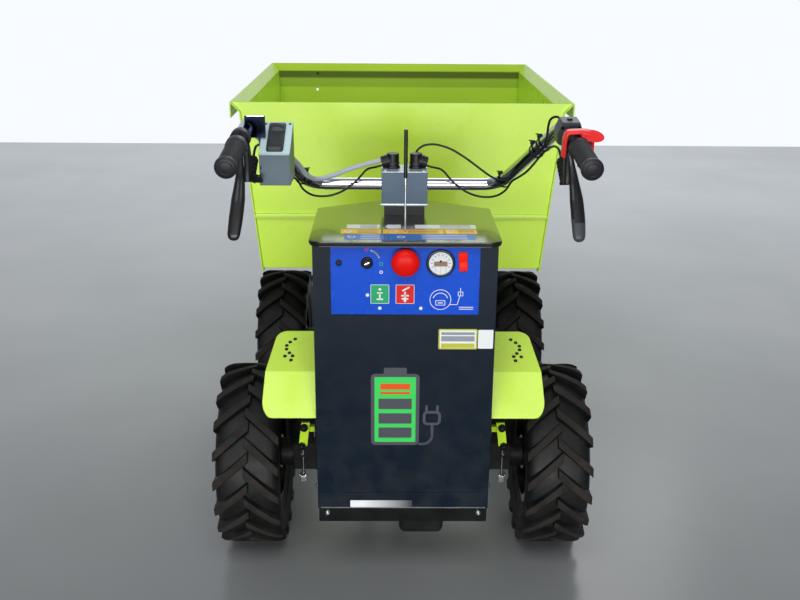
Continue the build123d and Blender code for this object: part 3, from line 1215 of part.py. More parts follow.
save("gear_motor", gear_motor())
save("drive_shaft", drive_shaft())
save("frame_rails", frame_rails())
save("frame_crossmembers", frame_crossmembers())
save("pivot_posts", pivot_posts())
save("rest_posts", rest_posts())
save("rest_pads", rest_pads())
save("housing_back", housing_back())
save("housing_sides", housing_sides())
save("housing_front", housing_front())
save("lower_skirt", lower_skirt())
save("rear_lip", rear_lip())
save("top_cover", top_cover())
save("battery_block", battery_block())
save("control_plate", control_plate())
save("stop_button", stop_button())
save("battery_gauge", panel_round(GAUGE_X, GAUGE_RADIUS, GAUGE_DEPTH))
save("key_switch", panel_round(KEY_X, KEY_RADIUS, KEY_DEPTH))
save("panel_plug", panel_round(PLUG_X, PLUG_RADIUS, PLUG_DEPTH))
save("lamp_switch", lamp_switch())
save("fenders", fenders())
save("axle_brackets", axle_brackets())
save("brake_links", brake_links())
save("column_base", column_base())
save("column_box", column_box())
save("handlebar", handlebar())
save("grips", grips())
save("cable_glands", cable_glands())
save("whip_rod", whip_rod())
save("bar_brackets", bar_brackets())
save("brake_levers", brake_levers())
save("cable_boots", cable_boots())
save("throttle_lever", throttle_lever())
save("switch_housing", switch_housing())
save("tip_switch_box", tip_switch_box())
save("tip_rocker", tip_rocker())
save("switch_bracket", switch_bracket())
save("control_cables", Compound(children=[*brake_cables(), switch_cable()]))
save("tip_switch_conduit", tip_switch_conduit())
save("skip_side_right", skip_side())
save("skip_side_left", mirrored(skip_side()))
save("skip_front", skip_front())
save("skip_rear", skip_rear())
save("skip_floor", skip_floor())
save("skip_brackets", skip_brackets())
save("actuator_body", actuator_body())
save("actuator_rod", actuator_rod())
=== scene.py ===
"""Looks of the pedestrian battery dumper: every piece dressed in the order it is put together."""
from math import cos, pi, radians, sin, tan

import bmesh
import bpy
from mathutils import Matrix, Vector


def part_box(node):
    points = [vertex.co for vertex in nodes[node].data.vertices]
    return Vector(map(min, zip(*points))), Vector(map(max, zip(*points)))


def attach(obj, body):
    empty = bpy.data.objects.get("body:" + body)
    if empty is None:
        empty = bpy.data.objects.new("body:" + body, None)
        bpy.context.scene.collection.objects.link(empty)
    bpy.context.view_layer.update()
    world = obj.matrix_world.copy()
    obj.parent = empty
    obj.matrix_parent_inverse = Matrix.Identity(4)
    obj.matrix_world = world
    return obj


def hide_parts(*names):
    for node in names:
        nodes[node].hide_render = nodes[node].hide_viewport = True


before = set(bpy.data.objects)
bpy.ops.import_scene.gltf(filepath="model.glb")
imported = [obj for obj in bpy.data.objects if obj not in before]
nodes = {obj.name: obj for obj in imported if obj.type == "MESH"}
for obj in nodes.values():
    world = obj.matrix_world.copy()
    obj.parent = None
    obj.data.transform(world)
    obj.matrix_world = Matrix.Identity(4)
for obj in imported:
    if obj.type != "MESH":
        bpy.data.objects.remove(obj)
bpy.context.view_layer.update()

# ---- Camera: at the eye height of someone walking up behind the machine, looking down at it.
# It leans and turns by less than a degree, as a hand-held one does.
camera = bpy.data.objects.new("walk_up_camera", bpy.data.cameras.new("walk_up_camera"))
bpy.context.scene.collection.objects.link(camera)
camera.data.sensor_width = 36.0
camera.data.lens = 43.47
camera.data.clip_start = 0.05
camera.data.clip_end = 80.0
eye = (-0.032, -2.38, 1.276)
turn_left, look_down, lean = -0.72, 19.65, 0.45
camera.matrix_world = (
    Matrix.Translation(eye)
    @ Matrix.Rotation(radians(turn_left), 4, "Z")
    @ Matrix.Rotation(radians(90 - look_down), 4, "X")
    @ Matrix.Rotation(radians(lean), 4, "Z")
)
bpy.context.scene.camera = camera
bpy.context.scene.view_settings.view_transform = "Standard"


# ---- Floor: pale smooth concrete, with faint clouds of tone in it, and painted shade that darkens it toward the operator's side.
# It is the stage only, and ends where the white of the hall begins.
def tone(code):
    """A colour written as six hex digits, made linear."""
    parts = [int(code[i:i + 2], 16) / 255 for i in (0, 2, 4)]
    return tuple(c / 12.92 if c <= 0.04045 else ((c + 0.055) / 1.055) ** 2.4 for c in parts) + (1.0,)


def fill_slot(tree, slot, source):
    """Links a socket into a node's slot, or sets the slot to a number or a colour."""
    if isinstance(source, bpy.types.NodeSocket):
        tree.links.new(source, slot)
    else:
        slot.default_value = source


def feed(tree, node, **sources):
    """Plugs several of a node's inputs, each named by its label with _ for a space."""
    for label, source in sources.items():
        fill_slot(tree, node.inputs[label.replace("_", " ")], source)
    return node


def add_node(tree, kind, **sources):
    """A new shader node with its inputs plugged."""
    return feed(tree, tree.nodes.new("ShaderNode" + kind), **sources)


def opened(material):
    """A material's node tree and its Principled shader."""
    return material.node_tree, material.node_tree.nodes["Principled BSDF"]


def new_material(name, colour, roughness, metallic=0.0):
    """A plain Principled material."""
    material = bpy.data.materials.new(name)
    material.use_nodes = True
    feed(*opened(material), Base_Color=tone(colour), Roughness=roughness, Metallic=metallic)
    return material


def dress(piece, material):
    """Gives every slot of an object one material."""
    piece.data.materials.clear()
    piece.data.materials.append(material)


floor_mesh = bmesh.new()
bmesh.ops.create_grid(floor_mesh, x_segments=1, y_segments=1, size=1.0)
bmesh.ops.scale(floor_mesh, vec=(16.0, 9.0, 1.0), verts=floor_mesh.verts)
bmesh.ops.translate(floor_mesh, vec=(0.0, -4.5, 0.0), verts=floor_mesh.verts)
floor = bpy.data.objects.new("floor", bpy.data.meshes.new("floor"))
floor_mesh.to_mesh(floor.data)
floor_mesh.free()
bpy.context.scene.collection.objects.link(floor)
concrete = new_material("pale_concrete", "A9AFB0", 0.24)
tree, shader = opened(concrete)
coords = add_node(tree, "TexCoord").outputs["Object"]
clouds = add_node(tree, "TexNoise", Scale=1.6, Detail=6.0, Vector=coords)
ramp = add_node(tree, "ValToRGB", Fac=clouds.outputs["Fac"])
for stop, position, code in zip(ramp.color_ramp.elements, (0.3, 0.75), ("D6DBDC", "E6EAEB")):
    stop.position = position
    stop.color = tone(code)
split = add_node(tree, "SeparateXYZ", Vector=coords)
# painted shade: the tone rises from the operator's side, Y -1.5, to the far end of the floor
reach = add_node(tree, "MapRange", From_Min=-1.5, From_Max=4.4, To_Min=0.17, To_Max=1.30,
                 Value=split.outputs["Y"])
shade = add_node(tree, "HueSaturation", Value=reach.outputs["Result"], Color=ramp.outputs["Color"])
feed(tree, shader, Base_Color=shade.outputs["Color"])
dress(floor, concrete)

# ---- Light: a white hall, one low lamp and one high behind the operator, one high beyond the skip.
# The hall shows as plain white to the eye; beyond the skip it is bright, behind the operator dim.
world = bpy.data.worlds.new("white_hall")
bpy.context.scene.world = world
world.use_nodes = True
tree = world.node_tree
tree.nodes.clear()
output = add_node(tree, "OutputWorld")
seen = add_node(tree, "Background", Color=tone("F8FBFF"), Strength=1.0)
fill = add_node(tree, "Background", Color=tone("F4F8FF"))
way = add_node(tree, "TexCoord")
split = add_node(tree, "SeparateXYZ", Vector=way.outputs["Generated"])
ahead = add_node(tree, "MapRange", From_Min=-0.4, From_Max=0.5, To_Min=0.14, To_Max=0.66,
                 Value=split.outputs["Y"])
feed(tree, fill, Strength=ahead.outputs["Result"])
mix = add_node(tree, "MixShader")
feed(tree, mix, Fac=add_node(tree, "LightPath").outputs["Is Camera Ray"])
tree.links.new(fill.outputs["Background"], mix.inputs[1])
tree.links.new(seen.outputs["Background"], mix.inputs[2])
feed(tree, output, Surface=mix.outputs["Shader"])

# name, place, aim, width and depth in metres, watts
for lamp_name, place, aim, size, watts in (
    ("low_lamp", (-0.3, -7.5, 1.0), (0.0, 0.0, 0.75), (6.5, 1.8), 360.0),
    ("overhead_lamp", (-0.3, -2.6, 3.4), (0.0, -0.1, 0.7), (2.6, 2.2), 58.0),
    ("front_lamp", (0.8, 3.6, 3.4), (0.0, 0.0, 0.5), (2.6, 2.6), 40.0),
):
    lamp = bpy.data.lights.new(lamp_name, "AREA")
    lamp.shape = "RECTANGLE"
    lamp.size, lamp.size_y = size
    lamp.energy = watts
    holder = bpy.data.objects.new(lamp_name, lamp)
    look = (Vector(aim) - Vector(place)).to_track_quat("-Z", "Y").to_matrix().to_4x4()
    holder.matrix_world = Matrix.Translation(place) @ look
    bpy.context.scene.collection.objects.link(holder)


# ---- Frame: two box-section rails with welded crossmembers, sprayed satin black after welding.
# Its posts for the skip's pivot and rest are of the same sheet and paint.
def group_of(name, inputs, outputs):
    """A shader node group with named sockets, and its two end nodes."""
    group = bpy.data.node_groups.new(name, "ShaderNodeTree")
    for label, kind, value in inputs:
        socket = group.interface.new_socket(name=label, in_out="INPUT", socket_type="NodeSocket" + kind)
        if value is not None:
            socket.default_value = value
    for label, kind in outputs:
        group.interface.new_socket(name=label, in_out="OUTPUT", socket_type="NodeSocket" + kind)
    return group, group.nodes.new("NodeGroupInput"), group.nodes.new("NodeGroupOutput")


def noise_at(tree, place, scale, detail):
    """A noise texture read at a place socket."""
    return add_node(tree, "TexNoise", Scale=scale, Detail=detail, Vector=place).outputs["Fac"]


def spread(tree, value, low, high, to_low, to_high):
    """Maps a value from one range to another and holds it there."""
    return add_node(tree, "MapRange", Value=value, From_Min=low, From_Max=high, To_Min=to_low,
                    To_Max=to_high).outputs["Result"]


def sum_of(tree, kind, first, second):
    """One Math node on two sockets or numbers."""
    node = tree.nodes.new("ShaderNodeMath")
    node.operation = kind
    for slot, source in zip(node.inputs, (first, second)):
        fill_slot(tree, slot, source)
    return node.outputs["Value"]


def blended(tree, share, first, second):
    """Mixes two colours by a share; either may be a socket or a colour."""
    mixer = tree.nodes.new("ShaderNodeMix")
    mixer.data_type = "RGBA"
    tree.links.new(share, mixer.inputs["Factor"])
    for label, source in (("A", first), ("B", second)):
        fill_slot(tree, [s for s in mixer.inputs if s.name == label and s.type == "RGBA"][0], source)
    return [s for s in mixer.outputs if s.type == "RGBA"][0]


# Surface grain: slow clouds of tone, a wandering gloss and a fine relief.
surface_grain, ends_in, ends_out = group_of(
    "surface_grain",
    (("Place", "Vector", None), ("Colour", "Color", None), ("Shade", "Float", 0.05),
     ("Roughness", "Float", 0.4), ("Grain", "Float", 420.0)),
    (("Colour", "Color"), ("Roughness", "Float"), ("Height", "Float")),
)
place = ends_in.outputs["Place"]
value = spread(surface_grain, noise_at(surface_grain, place, 5.0, 4.0), 0.3, 0.7,
               sum_of(surface_grain, "SUBTRACT", 1.0, ends_in.outputs["Shade"]),
               sum_of(surface_grain, "ADD", 1.0, ends_in.outputs["Shade"]))
tint = add_node(surface_grain, "HueSaturation", Value=value, Color=ends_in.outputs["Colour"])
rubbed = spread(surface_grain, noise_at(surface_grain, place, 31.0, 5.0), 0.3, 0.7, 0.88, 1.14)
gloss = sum_of(surface_grain, "MULTIPLY", rubbed, ends_in.outputs["Roughness"])
fine = add_node(surface_grain, "TexNoise", Detail=2.0, Vector=place, Scale=ends_in.outputs["Grain"])
feed(surface_grain, ends_out, Colour=tint.outputs["Color"], Roughness=gloss, Height=fine.outputs["Fac"])

# Floor dust: pale dust that thins out with height above the floor and lies in patches.
floor_dust, ends_in, ends_out = group_of(
    "floor_dust",
    (("Place", "Vector", None), ("Colour", "Color", None), ("Roughness", "Float", 0.5),
     ("Dust", "Color", None), ("Amount", "Float", 0.3), ("Reach", "Float", 0.4)),
    (("Colour", "Color"), ("Roughness", "Float")),
)
place = ends_in.outputs["Place"]
split = add_node(floor_dust, "SeparateXYZ", Vector=place)
fall = spread(floor_dust, split.outputs["Z"], 0.0, ends_in.outputs["Reach"], 1.0, 0.15)
patch = spread(floor_dust, noise_at(floor_dust, place, 26.0, 6.0), 0.38, 0.68, 0.1, 1.0)
share = sum_of(floor_dust, "MULTIPLY", sum_of(floor_dust, "MULTIPLY", fall, patch),
               ends_in.outputs["Amount"])
colour = blended(floor_dust, share, ends_in.outputs["Colour"], ends_in.outputs["Dust"])
dust_dulling_and_rim_shadow = sum_of(floor_dust, "MULTIPLY", share, 0.4)
feed(floor_dust, ends_out, Colour=colour,
     Roughness=sum_of(floor_dust, "ADD", ends_in.outputs["Roughness"], dust_dulling_and_rim_shadow))


def grained(name, code, roughness, metallic=0.0, shade=0.05, grain=420.0, relief=0.12, round_edge=0.0,
            dust=0.0, reach=0.4, **also):
    """A Principled finish with surface grain and, where asked for, soft edges, dust and other inputs."""
    material = new_material(name, code, roughness, metallic)
    tree, shader = opened(material)
    place = add_node(tree, "TexCoord").outputs["Object"]
    skin = tree.nodes.new("ShaderNodeGroup")
    skin.node_tree = surface_grain
    feed(tree, skin, Place=place, Colour=tone(code), Shade=shade, Roughness=roughness, Grain=grain)
    colour, gloss = skin.outputs["Colour"], skin.outputs["Roughness"]
    if dust:
        layer = tree.nodes.new("ShaderNodeGroup")
        layer.node_tree = floor_dust
        feed(tree, layer, Place=place, Colour=colour, Roughness=gloss, Dust=tone("8B857B"), Amount=dust,
             Reach=reach)
        colour, gloss = layer.outputs["Colour"], layer.outputs["Roughness"]
    bump = add_node(tree, "Bump", Strength=relief, Distance=0.001, Height=skin.outputs["Height"])
    if round_edge:
        edge = add_node(tree, "Bevel", Radius=round_edge)
        edge.samples = 4
        feed(tree, bump, Normal=edge.outputs["Normal"])
    feed(tree, shader, Base_Color=colour, Roughness=gloss, Specular_IOR_Level=0.3,
         Normal=bump.outputs["Normal"])
    feed(tree, shader, **also)
    return material


def wear(material, *names):
    """Dresses several carried-over nodes in one finish."""
    for name in names:
        dress(nodes[name], material)


black_paint = grained("black_paint", "050708", 0.30, dust=0.035, reach=0.45, round_edge=0.0012)
wear(black_paint, "frame_rails", "frame_crossmembers", "pivot_posts", "rest_posts", "axle_brackets")
rest_rubber = grained("rest_rubber", "1B1C1E", 0.72, grain=900.0, relief=0.3, shade=0.1,
                      round_edge=0.0012)
wear(rest_rubber, "rest_pads")


# ---- Frame bolts: zinc-plated hexagon screws at the pivot and on the brackets beside the housing.
# Each has a washer, and its head is chamfered as a turned blank is.
def shape_into(form, made, place=Matrix.Identity(4)):
    """Moves a finished small shape to its place and adds it to a larger one."""
    made.transform(place)
    holder = bpy.data.meshes.new("holder")
    made.to_mesh(holder)
    made.free()
    form.from_mesh(holder)
    bpy.data.meshes.remove(holder)


def at(*place):
    """A place given by its three coordinates, upright."""
    return Matrix.Translation(place)


def turned(outline, steps=32):
    """An outline of (height, radius) corners turned about Z into a closed solid."""
    made = bmesh.new()
    corners = [made.verts.new((radius, 0.0, height)) for height, radius in outline]
    edges = [made.edges.new(pair) for pair in zip(corners, corners[1:])]
    bmesh.ops.spin(made, geom=corners + edges, cent=(0, 0, 0), axis=(0, 0, 1), angle=2 * pi,
                   steps=steps, use_merge=True)
    bmesh.ops.remove_doubles(made, verts=made.verts, dist=1e-6)
    bmesh.ops.recalc_face_normals(made, faces=made.faces)
    return made


def soften(made, edges, offset, segments=2):
    """Rounds some edges of a shape."""
    bmesh.ops.bevel(made, geom=edges, offset=offset, offset_type="OFFSET", segments=segments, profile=0.5,
                    affect="EDGES", material=-1)


def screw(across, height):
    """A hexagon head on its washer, standing on the origin along Z."""
    made = turned([(0.0, 0.0), (0.0, 0.62 * across), (0.12 * across, 0.62 * across),
                   (0.12 * across, 0.0)], 24)
    head = bmesh.new()
    bmesh.ops.create_cone(head, cap_ends=True, segments=6, radius1=across / 2 / cos(pi / 6),
                          radius2=across / 2 / cos(pi / 6), depth=height)
    top = [face for face in head.faces if face.normal.z > 0.9]
    soften(head, [edge for face in top for edge in face.edges], 0.08 * across)
    shape_into(made, head, at(0, 0, 0.12 * across + height / 2))
    return made


def facing(position, direction):
    """A place whose Z looks along a direction."""
    return Matrix.Translation(position) @ Vector(direction).to_track_quat("Z", "Y").to_matrix().to_4x4()


def add_piece(name, form, body, slot, *materials, smooth=30.0):
    """Makes a piece of a finished form, with its finish and the body it rides on."""
    mesh = bpy.data.meshes.new(name)
    form.to_mesh(mesh)
    form.free()
    piece = bpy.data.objects.new(name, mesh)
    bpy.context.scene.collection.objects.link(piece)
    for material in materials:
        mesh.materials.append(material)
    mesh.shade_smooth()
    mesh.set_sharp_from_angle(angle=radians(smooth))
    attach(piece, body)
    return piece


zinc = grained("zinc_plate", "C4C7C8", 0.26, 1.0, shade=0.08, grain=1500.0, relief=0.05)
frame_bolts = bmesh.new()
pivot_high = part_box("pivot_posts")[1]
pivot_y = pivot_z = 0.440
m8_head = (0.013, 0.007)
# the housing's brackets lean inward to the front: rear end, length, rear half width and taper
bracket_rear, bracket_length, bracket_x, bracket_taper = -0.606, 0.234, 0.1888, 0.014
for side in (-1, 1):
    for reach in (-0.022, 0.022):
        shape_into(frame_bolts, screw(*m8_head),
                   facing((side * pivot_high.x, pivot_y + reach, pivot_z - 0.055), (side, 0, 0)))
    for along, up in ((-0.51, 0.30), (-0.44, 0.30), (-0.44, 0.25)):
        x = bracket_x - bracket_taper * (along - bracket_rear) / bracket_length
        shape_into(frame_bolts, screw(*m8_head), facing((side * x, along, up), (side, 0.06, 0)))
add_piece("frame_bolts", frame_bolts, "chassis", "steel", zinc)

# ---- Axles: cast gear cases with welded beams, the shaft between them and the drive under the rear.
# The drive is a ribbed motor drum on a cast reduction case, hung from a flange under the rails.
cast_iron = grained("cast_iron", "0C0E10", 0.5, shade=0.14, grain=260.0, relief=0.5, round_edge=0.003,
                    dust=0.06, reach=0.3)
wear(cast_iron, "rear_axle", "front_axle")
wear(black_paint, "drive_shaft")


def slab(width, depth, height, edge=0.0, segments=2):
    """A block centred on the origin with rounded edges."""
    made = bmesh.new()
    bmesh.ops.create_cube(made, size=1.0)
    bmesh.ops.scale(made, vec=(width, depth, height), verts=made.verts)
    if edge:
        soften(made, made.edges[:], edge, segments)
    return made


low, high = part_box("gear_motor")
middle = (low + high) / 2
case_width, flange, drum, drum_z, bolt_circle = 0.095, 0.012, 0.070, low.z + 0.080, 0.045
drive = bmesh.new()
shape_into(drive, slab(case_width, high.y - low.y, high.z - low.z - flange, 0.014, 3),
           at(high.x - case_width / 2, middle.y, (low.z + high.z - flange) / 2))
shape_into(drive, slab(high.x - low.x, high.y - low.y, flange, 0.002),
           at(middle.x, middle.y, high.z - flange / 2))
ribs = [(0.0, 0.0), (0.0, drum - 0.012), (0.006, drum - 0.004)]
drum_length = high.x - low.x - case_width
for step in range(9):
    start = 0.012 + step * 0.0125
    ribs += [(start + gone, drum - deep)
             for gone, deep in ((0, 0.004), (0.001, 0), (0.005, 0), (0.006, 0.004))]
ribs += [(drum_length + 0.004, drum - 0.004), (drum_length + 0.004, 0.0)]
shape_into(drive, turned(ribs, 48), facing((low.x, middle.y, drum_z), (1, 0, 0)))
for turn in range(6):
    angle = radians(60 * turn + 30)
    shape_into(drive, screw(0.011, 0.006),
               facing((low.x + 0.004, middle.y + bolt_circle * cos(angle),
                       drum_z + bolt_circle * sin(angle)),
                      (-1, 0, 0)))
for across in (0.035, 0.085):
    shape_into(drive, slab(0.012, 0.10, 0.05, 0.003), at(low.x + across, middle.y, high.z - 0.036))
drive_unit = add_piece("drive_unit", drive, "chassis", "cast_case", cast_iron)
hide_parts("gear_motor")

# ---- Rims: pressed steel, sprayed gloss black, bolted to the hub by five flanged screws.
# The valve's rubber stem comes out through the disc beside them.
rim_paint = grained("rim_paint", "07090A", 0.16, shade=0.04, relief=0.06, dust=0.12, reach=0.4,
                    round_edge=0.0012, Coat_Weight=0.6, Coat_Roughness=0.08)
valve_rubber = grained("valve_rubber", "1A1A1B", 0.6, grain=900.0, relief=0.2, round_edge=0.0012)
wheel_centre = {}
# from the wheel's middle: the disc's face and the hub's end across, the screws' and the valve's circles
disc_face, hub_end, screw_circle, valve_circle = 0.020, 0.0445, 0.058, 0.084
for name in ("rear_left", "rear_right", "front_left", "front_right"):
    wear(rim_paint, name + "_rim")
    low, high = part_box(name + "_rim")
    centre = (low + high) / 2
    wheel_centre[name] = centre
    side = 1 if centre.x > 0 else -1
    face_x = centre.x + side * disc_face
    fixings = bmesh.new()
    for turn in range(5):
        angle = radians(72 * turn + 90)
        shape_into(fixings, screw(0.019, 0.011),
                   facing((face_x, centre.y + screw_circle * cos(angle),
                           centre.z + screw_circle * sin(angle)), (side, 0, 0)))
    cap = turned([(0.0, 0.0), (0.0, 0.027), (0.006, 0.0275), (0.013, 0.024), (0.0155, 0.016),
                  (0.016, 0.0)], 40)
    shape_into(fixings, cap, facing((centre.x + side * hub_end, centre.y, centre.z), (side, 0, 0)))
    add_piece(name + "_wheel_screws", fixings, name + "_wheel", "steel", zinc)
    angle = radians(54)
    valve = turned([(0.0, 0.0), (0.0, 0.009), (0.004, 0.0075), (0.012, 0.0055), (0.030, 0.0045),
                    (0.031, 0.0055), (0.040, 0.0055), (0.042, 0.004), (0.042, 0.0)], 20)
    stem = bmesh.new()
    shape_into(stem, valve, facing((face_x, centre.y + valve_circle * cos(angle),
                                    centre.z + valve_circle * sin(angle)), (side, 0, 0)))
    add_piece(name + "_valve", stem, name + "_wheel", "rubber", valve_rubber)

# ---- Tyres: agricultural lugged tyres, a moulded carcass with two staggered rows of slanting bars.
# The bars' tops are scuffed brown by the ground, and they run on down the shoulders.
tyre_rubber = grained("tyre_rubber", "07090B", 0.50, shade=0.10, grain=500.0, relief=0.25, dust=0.06,
                      reach=0.42)
lug_top = grained("scuffed_lug_top", "211D1A", 0.80, shade=0.22, grain=330.0, relief=0.8, dust=0.10,
                  reach=0.42)
# lugs in a row, radius over the lugs, radius of the carcass at its crown
LUGS, OUTER, CROWN = 19, 0.2025, 0.190
# carcass profile from the left bead to the crown: offset from the middle, radius
flank = [(0.0515, 0.1025), (0.0523, 0.1160), (0.0575, 0.1240), (0.0637, 0.1370), (0.0675, 0.1520),
         (0.0681, 0.1640), (0.0662, 0.1740), (0.0617, 0.1815), (0.0535, 0.1860), (0.0400, 0.1882),
         (0.0200, 0.1896)]
outline = [(-x, r) for x, r in flank] + [(0.0, CROWN)] + [(x, r) for x, r in reversed(flank)]
outline.append((-flank[0][0], flank[0][1]))
tread = turned(outline, LUGS * 4)
# raised ring where the rim's flange ends, and the wall's moulded rib
for side in (-1, 1):
    for middle, radius, wide in ((0.0617, 0.1335, 0.0012), (0.0675, 0.1580, 0.0014)):
        raised = turned([(-wide, radius), (-wide / 2, radius + 0.003), (wide / 2, radius + 0.003),
                         (wide, radius),
                       (wide / 2, radius - 0.003), (-wide / 2, radius - 0.003), (-wide, radius)],
                        LUGS * 4)
        shape_into(tread, raised, at(0, 0, side * middle))
tread.transform(Matrix.Rotation(radians(90), 4, "Y"))


def surface_radius(offset):
    """The carcass's radius at an offset from the middle."""
    points = [(0.0, CROWN)] + [(x, r) for x, r in reversed(flank)][:6]
    for (x0, r0), (x1, r1) in zip(points, points[1:]):
        if offset <= x1:
            return r0 + (r1 - r0) * (offset - x0) / (x1 - x0)
    return points[-1][1]


def tyre_bar():
    """One bar of the right row at the wheel's top, bent round the carcass from a straight block."""
    made = bmesh.new()
    bmesh.ops.create_grid(made, x_segments=10, y_segments=1, size=0.5)
    top = bmesh.ops.extrude_face_region(made, geom=made.faces[:])["geom"]
    bmesh.ops.translate(made, vec=(0, 0, 1), verts=[v for v in top if isinstance(v, bmesh.types.BMVert)])
    bmesh.ops.recalc_face_normals(made, faces=made.faces)
    slant = radians(42)
    # across the tread: the bar's inner and outer end, its middle, and where its outer foot meets the wall
    start, end, bar_middle, wall_offset, wall_radius = -0.0045, 0.0698, 0.0355, 0.0670, 0.1700
    foot_half, top_half = 0.0098 / cos(slant), 0.0076 / cos(slant)
    wear_down, shoulder = 0.0004, 0.050
    for vert in made.verts:
        along, across, up = vert.co.x + 0.5, vert.co.y * 2, vert.co.z
        offset = start + (end - start) * along
        half = foot_half if up < 0.5 else top_half
        wall = surface_radius(min(max(offset, 0.0), 0.0660)) - 0.003
        tip = OUTER - wear_down - 0.0005 * across * across - max(0.0, offset - shoulder) ** 2 * 14.0
        radius = wall if up < 0.5 else tip
        if up < 0.5 and along > 0.95:
            radius = wall_radius
            offset = wall_offset
        arc = ((bar_middle - offset) * tan(slant) + across * half) / OUTER
        vert.co = (offset, radius * sin(arc), radius * cos(arc))
    crest = [face for face in made.faces
             if face.normal.z > 0.5 and min(v.co.length for v in face.verts) > 0.19]
    made.normal_update()
    rim_edges = [edge for edge in made.edges if any(face in crest for face in edge.link_faces)
                 and not all(face in crest for face in edge.link_faces)]
    soften(made, rim_edges, 0.0016)
    # the worn top takes the second finish
    made.normal_update()
    for face in made.faces:
        middle = face.calc_center_median()
        outward = Vector((0, middle.y, middle.z)).normalized()
        face.material_index = 1 if face.normal.dot(outward) > 0.86 and middle.length > 0.192 else 0
        face.smooth = False
    return made


pitch = 2 * pi / LUGS
for turn in range(LUGS):
    shape_into(tread, tyre_bar(), Matrix.Rotation(pitch * (turn + 0.5), 4, "X"))
    left_bar = tyre_bar()
    bmesh.ops.scale(left_bar, vec=(-1, 1, 1), verts=left_bar.verts)
    bmesh.ops.reverse_faces(left_bar, faces=left_bar.faces)
    shape_into(tread, left_bar, Matrix.Rotation(pitch * turn, 4, "X"))
for name, centre in wheel_centre.items():
    own = tread.copy()
    bmesh.ops.translate(own, vec=centre, verts=own.verts)
    tyre = add_piece(name + "_lugged_tyre", own, name + "_wheel", "tyre", tyre_rubber, lug_top,
                     smooth=38.0)
    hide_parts(name + "_tyre")
tread.free()

# ---- Housing: folded steel sheets round the battery, powder coated anthracite with a fine orange peel.
# The sheets meet at the rear corners, small black screws hold the walls and zinc ones the lip.
anthracite = grained("anthracite_powder_coat", "0F1C28", 0.22, shade=0.05, grain=650.0, relief=0.22,
                     dust=0.08, reach=0.5, round_edge=0.0012, Specular_IOR_Level=0.15)
wear(anthracite, "housing_back", "housing_sides", "housing_front", "lower_skirt")
wear(black_paint, "rear_lip")
black_oxide = grained("black_oxide", "121315", 0.40, 0.6, shade=0.1, grain=1500.0, relief=0.05)


def button_screw(across, height):
    """A button head with a hexagon socket, standing on the origin along Z."""
    return turned([(0.0, 0.0), (0.0, across * 0.5), (height * 0.35, across * 0.48),
                   (height * 0.75, across * 0.36), (height, across * 0.22), (height * 0.35, across * 0.2),
                   (height * 0.35, 0.0)], 24)


back_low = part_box("housing_back")[0]
skirt_low, skirt_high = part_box("lower_skirt")
lip_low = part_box("rear_lip")[0]
side_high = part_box("housing_sides")[1]
housing_screws = bmesh.new()
lip_screws = bmesh.new()
for side in (-1, 1):
    shape_into(lip_screws, button_screw(0.012, 0.005),
               facing((side * side_high.x, -0.592, 0.222), (side, 0, 0)))
    shape_into(lip_screws, button_screw(0.013, 0.006),
               facing((side * 0.159, lip_low.y, 0.165), (0, -1, 0)))
    for along in (-0.480, -0.395):
        shape_into(housing_screws, button_screw(0.013, 0.005),
                   facing((side * side_high.x, along, 0.730), (side, 0, 0)))
add_piece("housing_screws", housing_screws, "chassis", "steel", black_oxide)
add_piece("lip_screws", lip_screws, "chassis", "steel", zinc)

# A thin bright steel strip along the skirt's folded lower edge is a painted highlight, and a short strip
# over the lip carries a painted sheen.
edge_highlight_steel = grained("edge_highlight_steel", "B9BEC2", 0.30, 1.0, shade=0.10, grain=700.0, relief=0.2)


def finished(made, finish):
    """Gives a whole shape one of its piece's finishes, by number."""
    for face in made.faces:
        face.material_index = finish
    return made


def card(width, height, corner, thick, finish=0):
    """A thin plate lying flat on the origin, with round corners and one finish."""
    made = slab(width, height, thick)
    bmesh.ops.translate(made, vec=(0, 0, thick / 2), verts=made.verts)
    if corner:
        uprights = [edge for edge in made.edges
                    if abs(edge.verts[0].co.z - edge.verts[1].co.z) > thick / 2]
        soften(made, uprights, corner, 5)
    return finished(made, finish)


def on_back(across, up, face_y):
    """A place on a wall that looks to the rear: local X stays across, local Y goes up."""
    return at(across, face_y, up) @ Matrix.Rotation(radians(90), 4, "X")


highlight_strips = bmesh.new()
shape_into(highlight_strips, card(skirt_high.x - skirt_low.x - 0.012, 0.0022, 0.0, 0.0006),
           on_back(0.0, skirt_low.z + 0.0014, skirt_low.y))
shape_into(highlight_strips, card(0.130, 0.016, 0.002, 0.0008, 1),
           on_back(-0.046, skirt_low.z + 0.0106, skirt_low.y))
sheen_gradient_steel = grained("sheen_gradient_steel", "F2F4F5", 0.22, shade=0.05, grain=700.0, relief=0.1)


def own_axes(tree):
    """The X, Y and Z sockets of an object's own coordinates."""
    return add_node(tree, "SeparateXYZ", Vector=add_node(tree, "TexCoord").outputs["Object"]).outputs


def source_of(shader, label):
    """The socket that feeds one input of a shader."""
    return shader.inputs[label].links[0].from_socket


# painted sheen: the strip is bright at one end and fades into the dark paint at the other
tree, shader = opened(sheen_gradient_steel)
painted = spread(tree, own_axes(tree)["X"], -0.085, 0.015, 0.0, 0.93)
feed(tree, shader, Base_Color=blended(tree, painted, source_of(shader, "Base Color"), tone("17222C")))
add_piece("skirt_highlight_strips", highlight_strips, "chassis", "steel", edge_highlight_steel, sheen_gradient_steel)


# ---- Housing prints: cut vinyl on the rear wall, a battery pictogram and a blank data label.
# They are thin layers pressed onto the paint, with no words on them.
def vinyl(name, code, roughness):
    """A printed film: even in tone and nearly smooth."""
    return grained(name, code, roughness, shade=0.03, grain=900.0, relief=0.05)


vinyl_grey = vinyl("vinyl_grey", "8E979E", 0.35)
vinyl_green = vinyl("vinyl_green", "1BA066", 0.32)
vinyl_yellow = vinyl("vinyl_yellow", "B9BE3C", 0.30)
vinyl_white = vinyl("vinyl_white", "E6E9EA", 0.30)
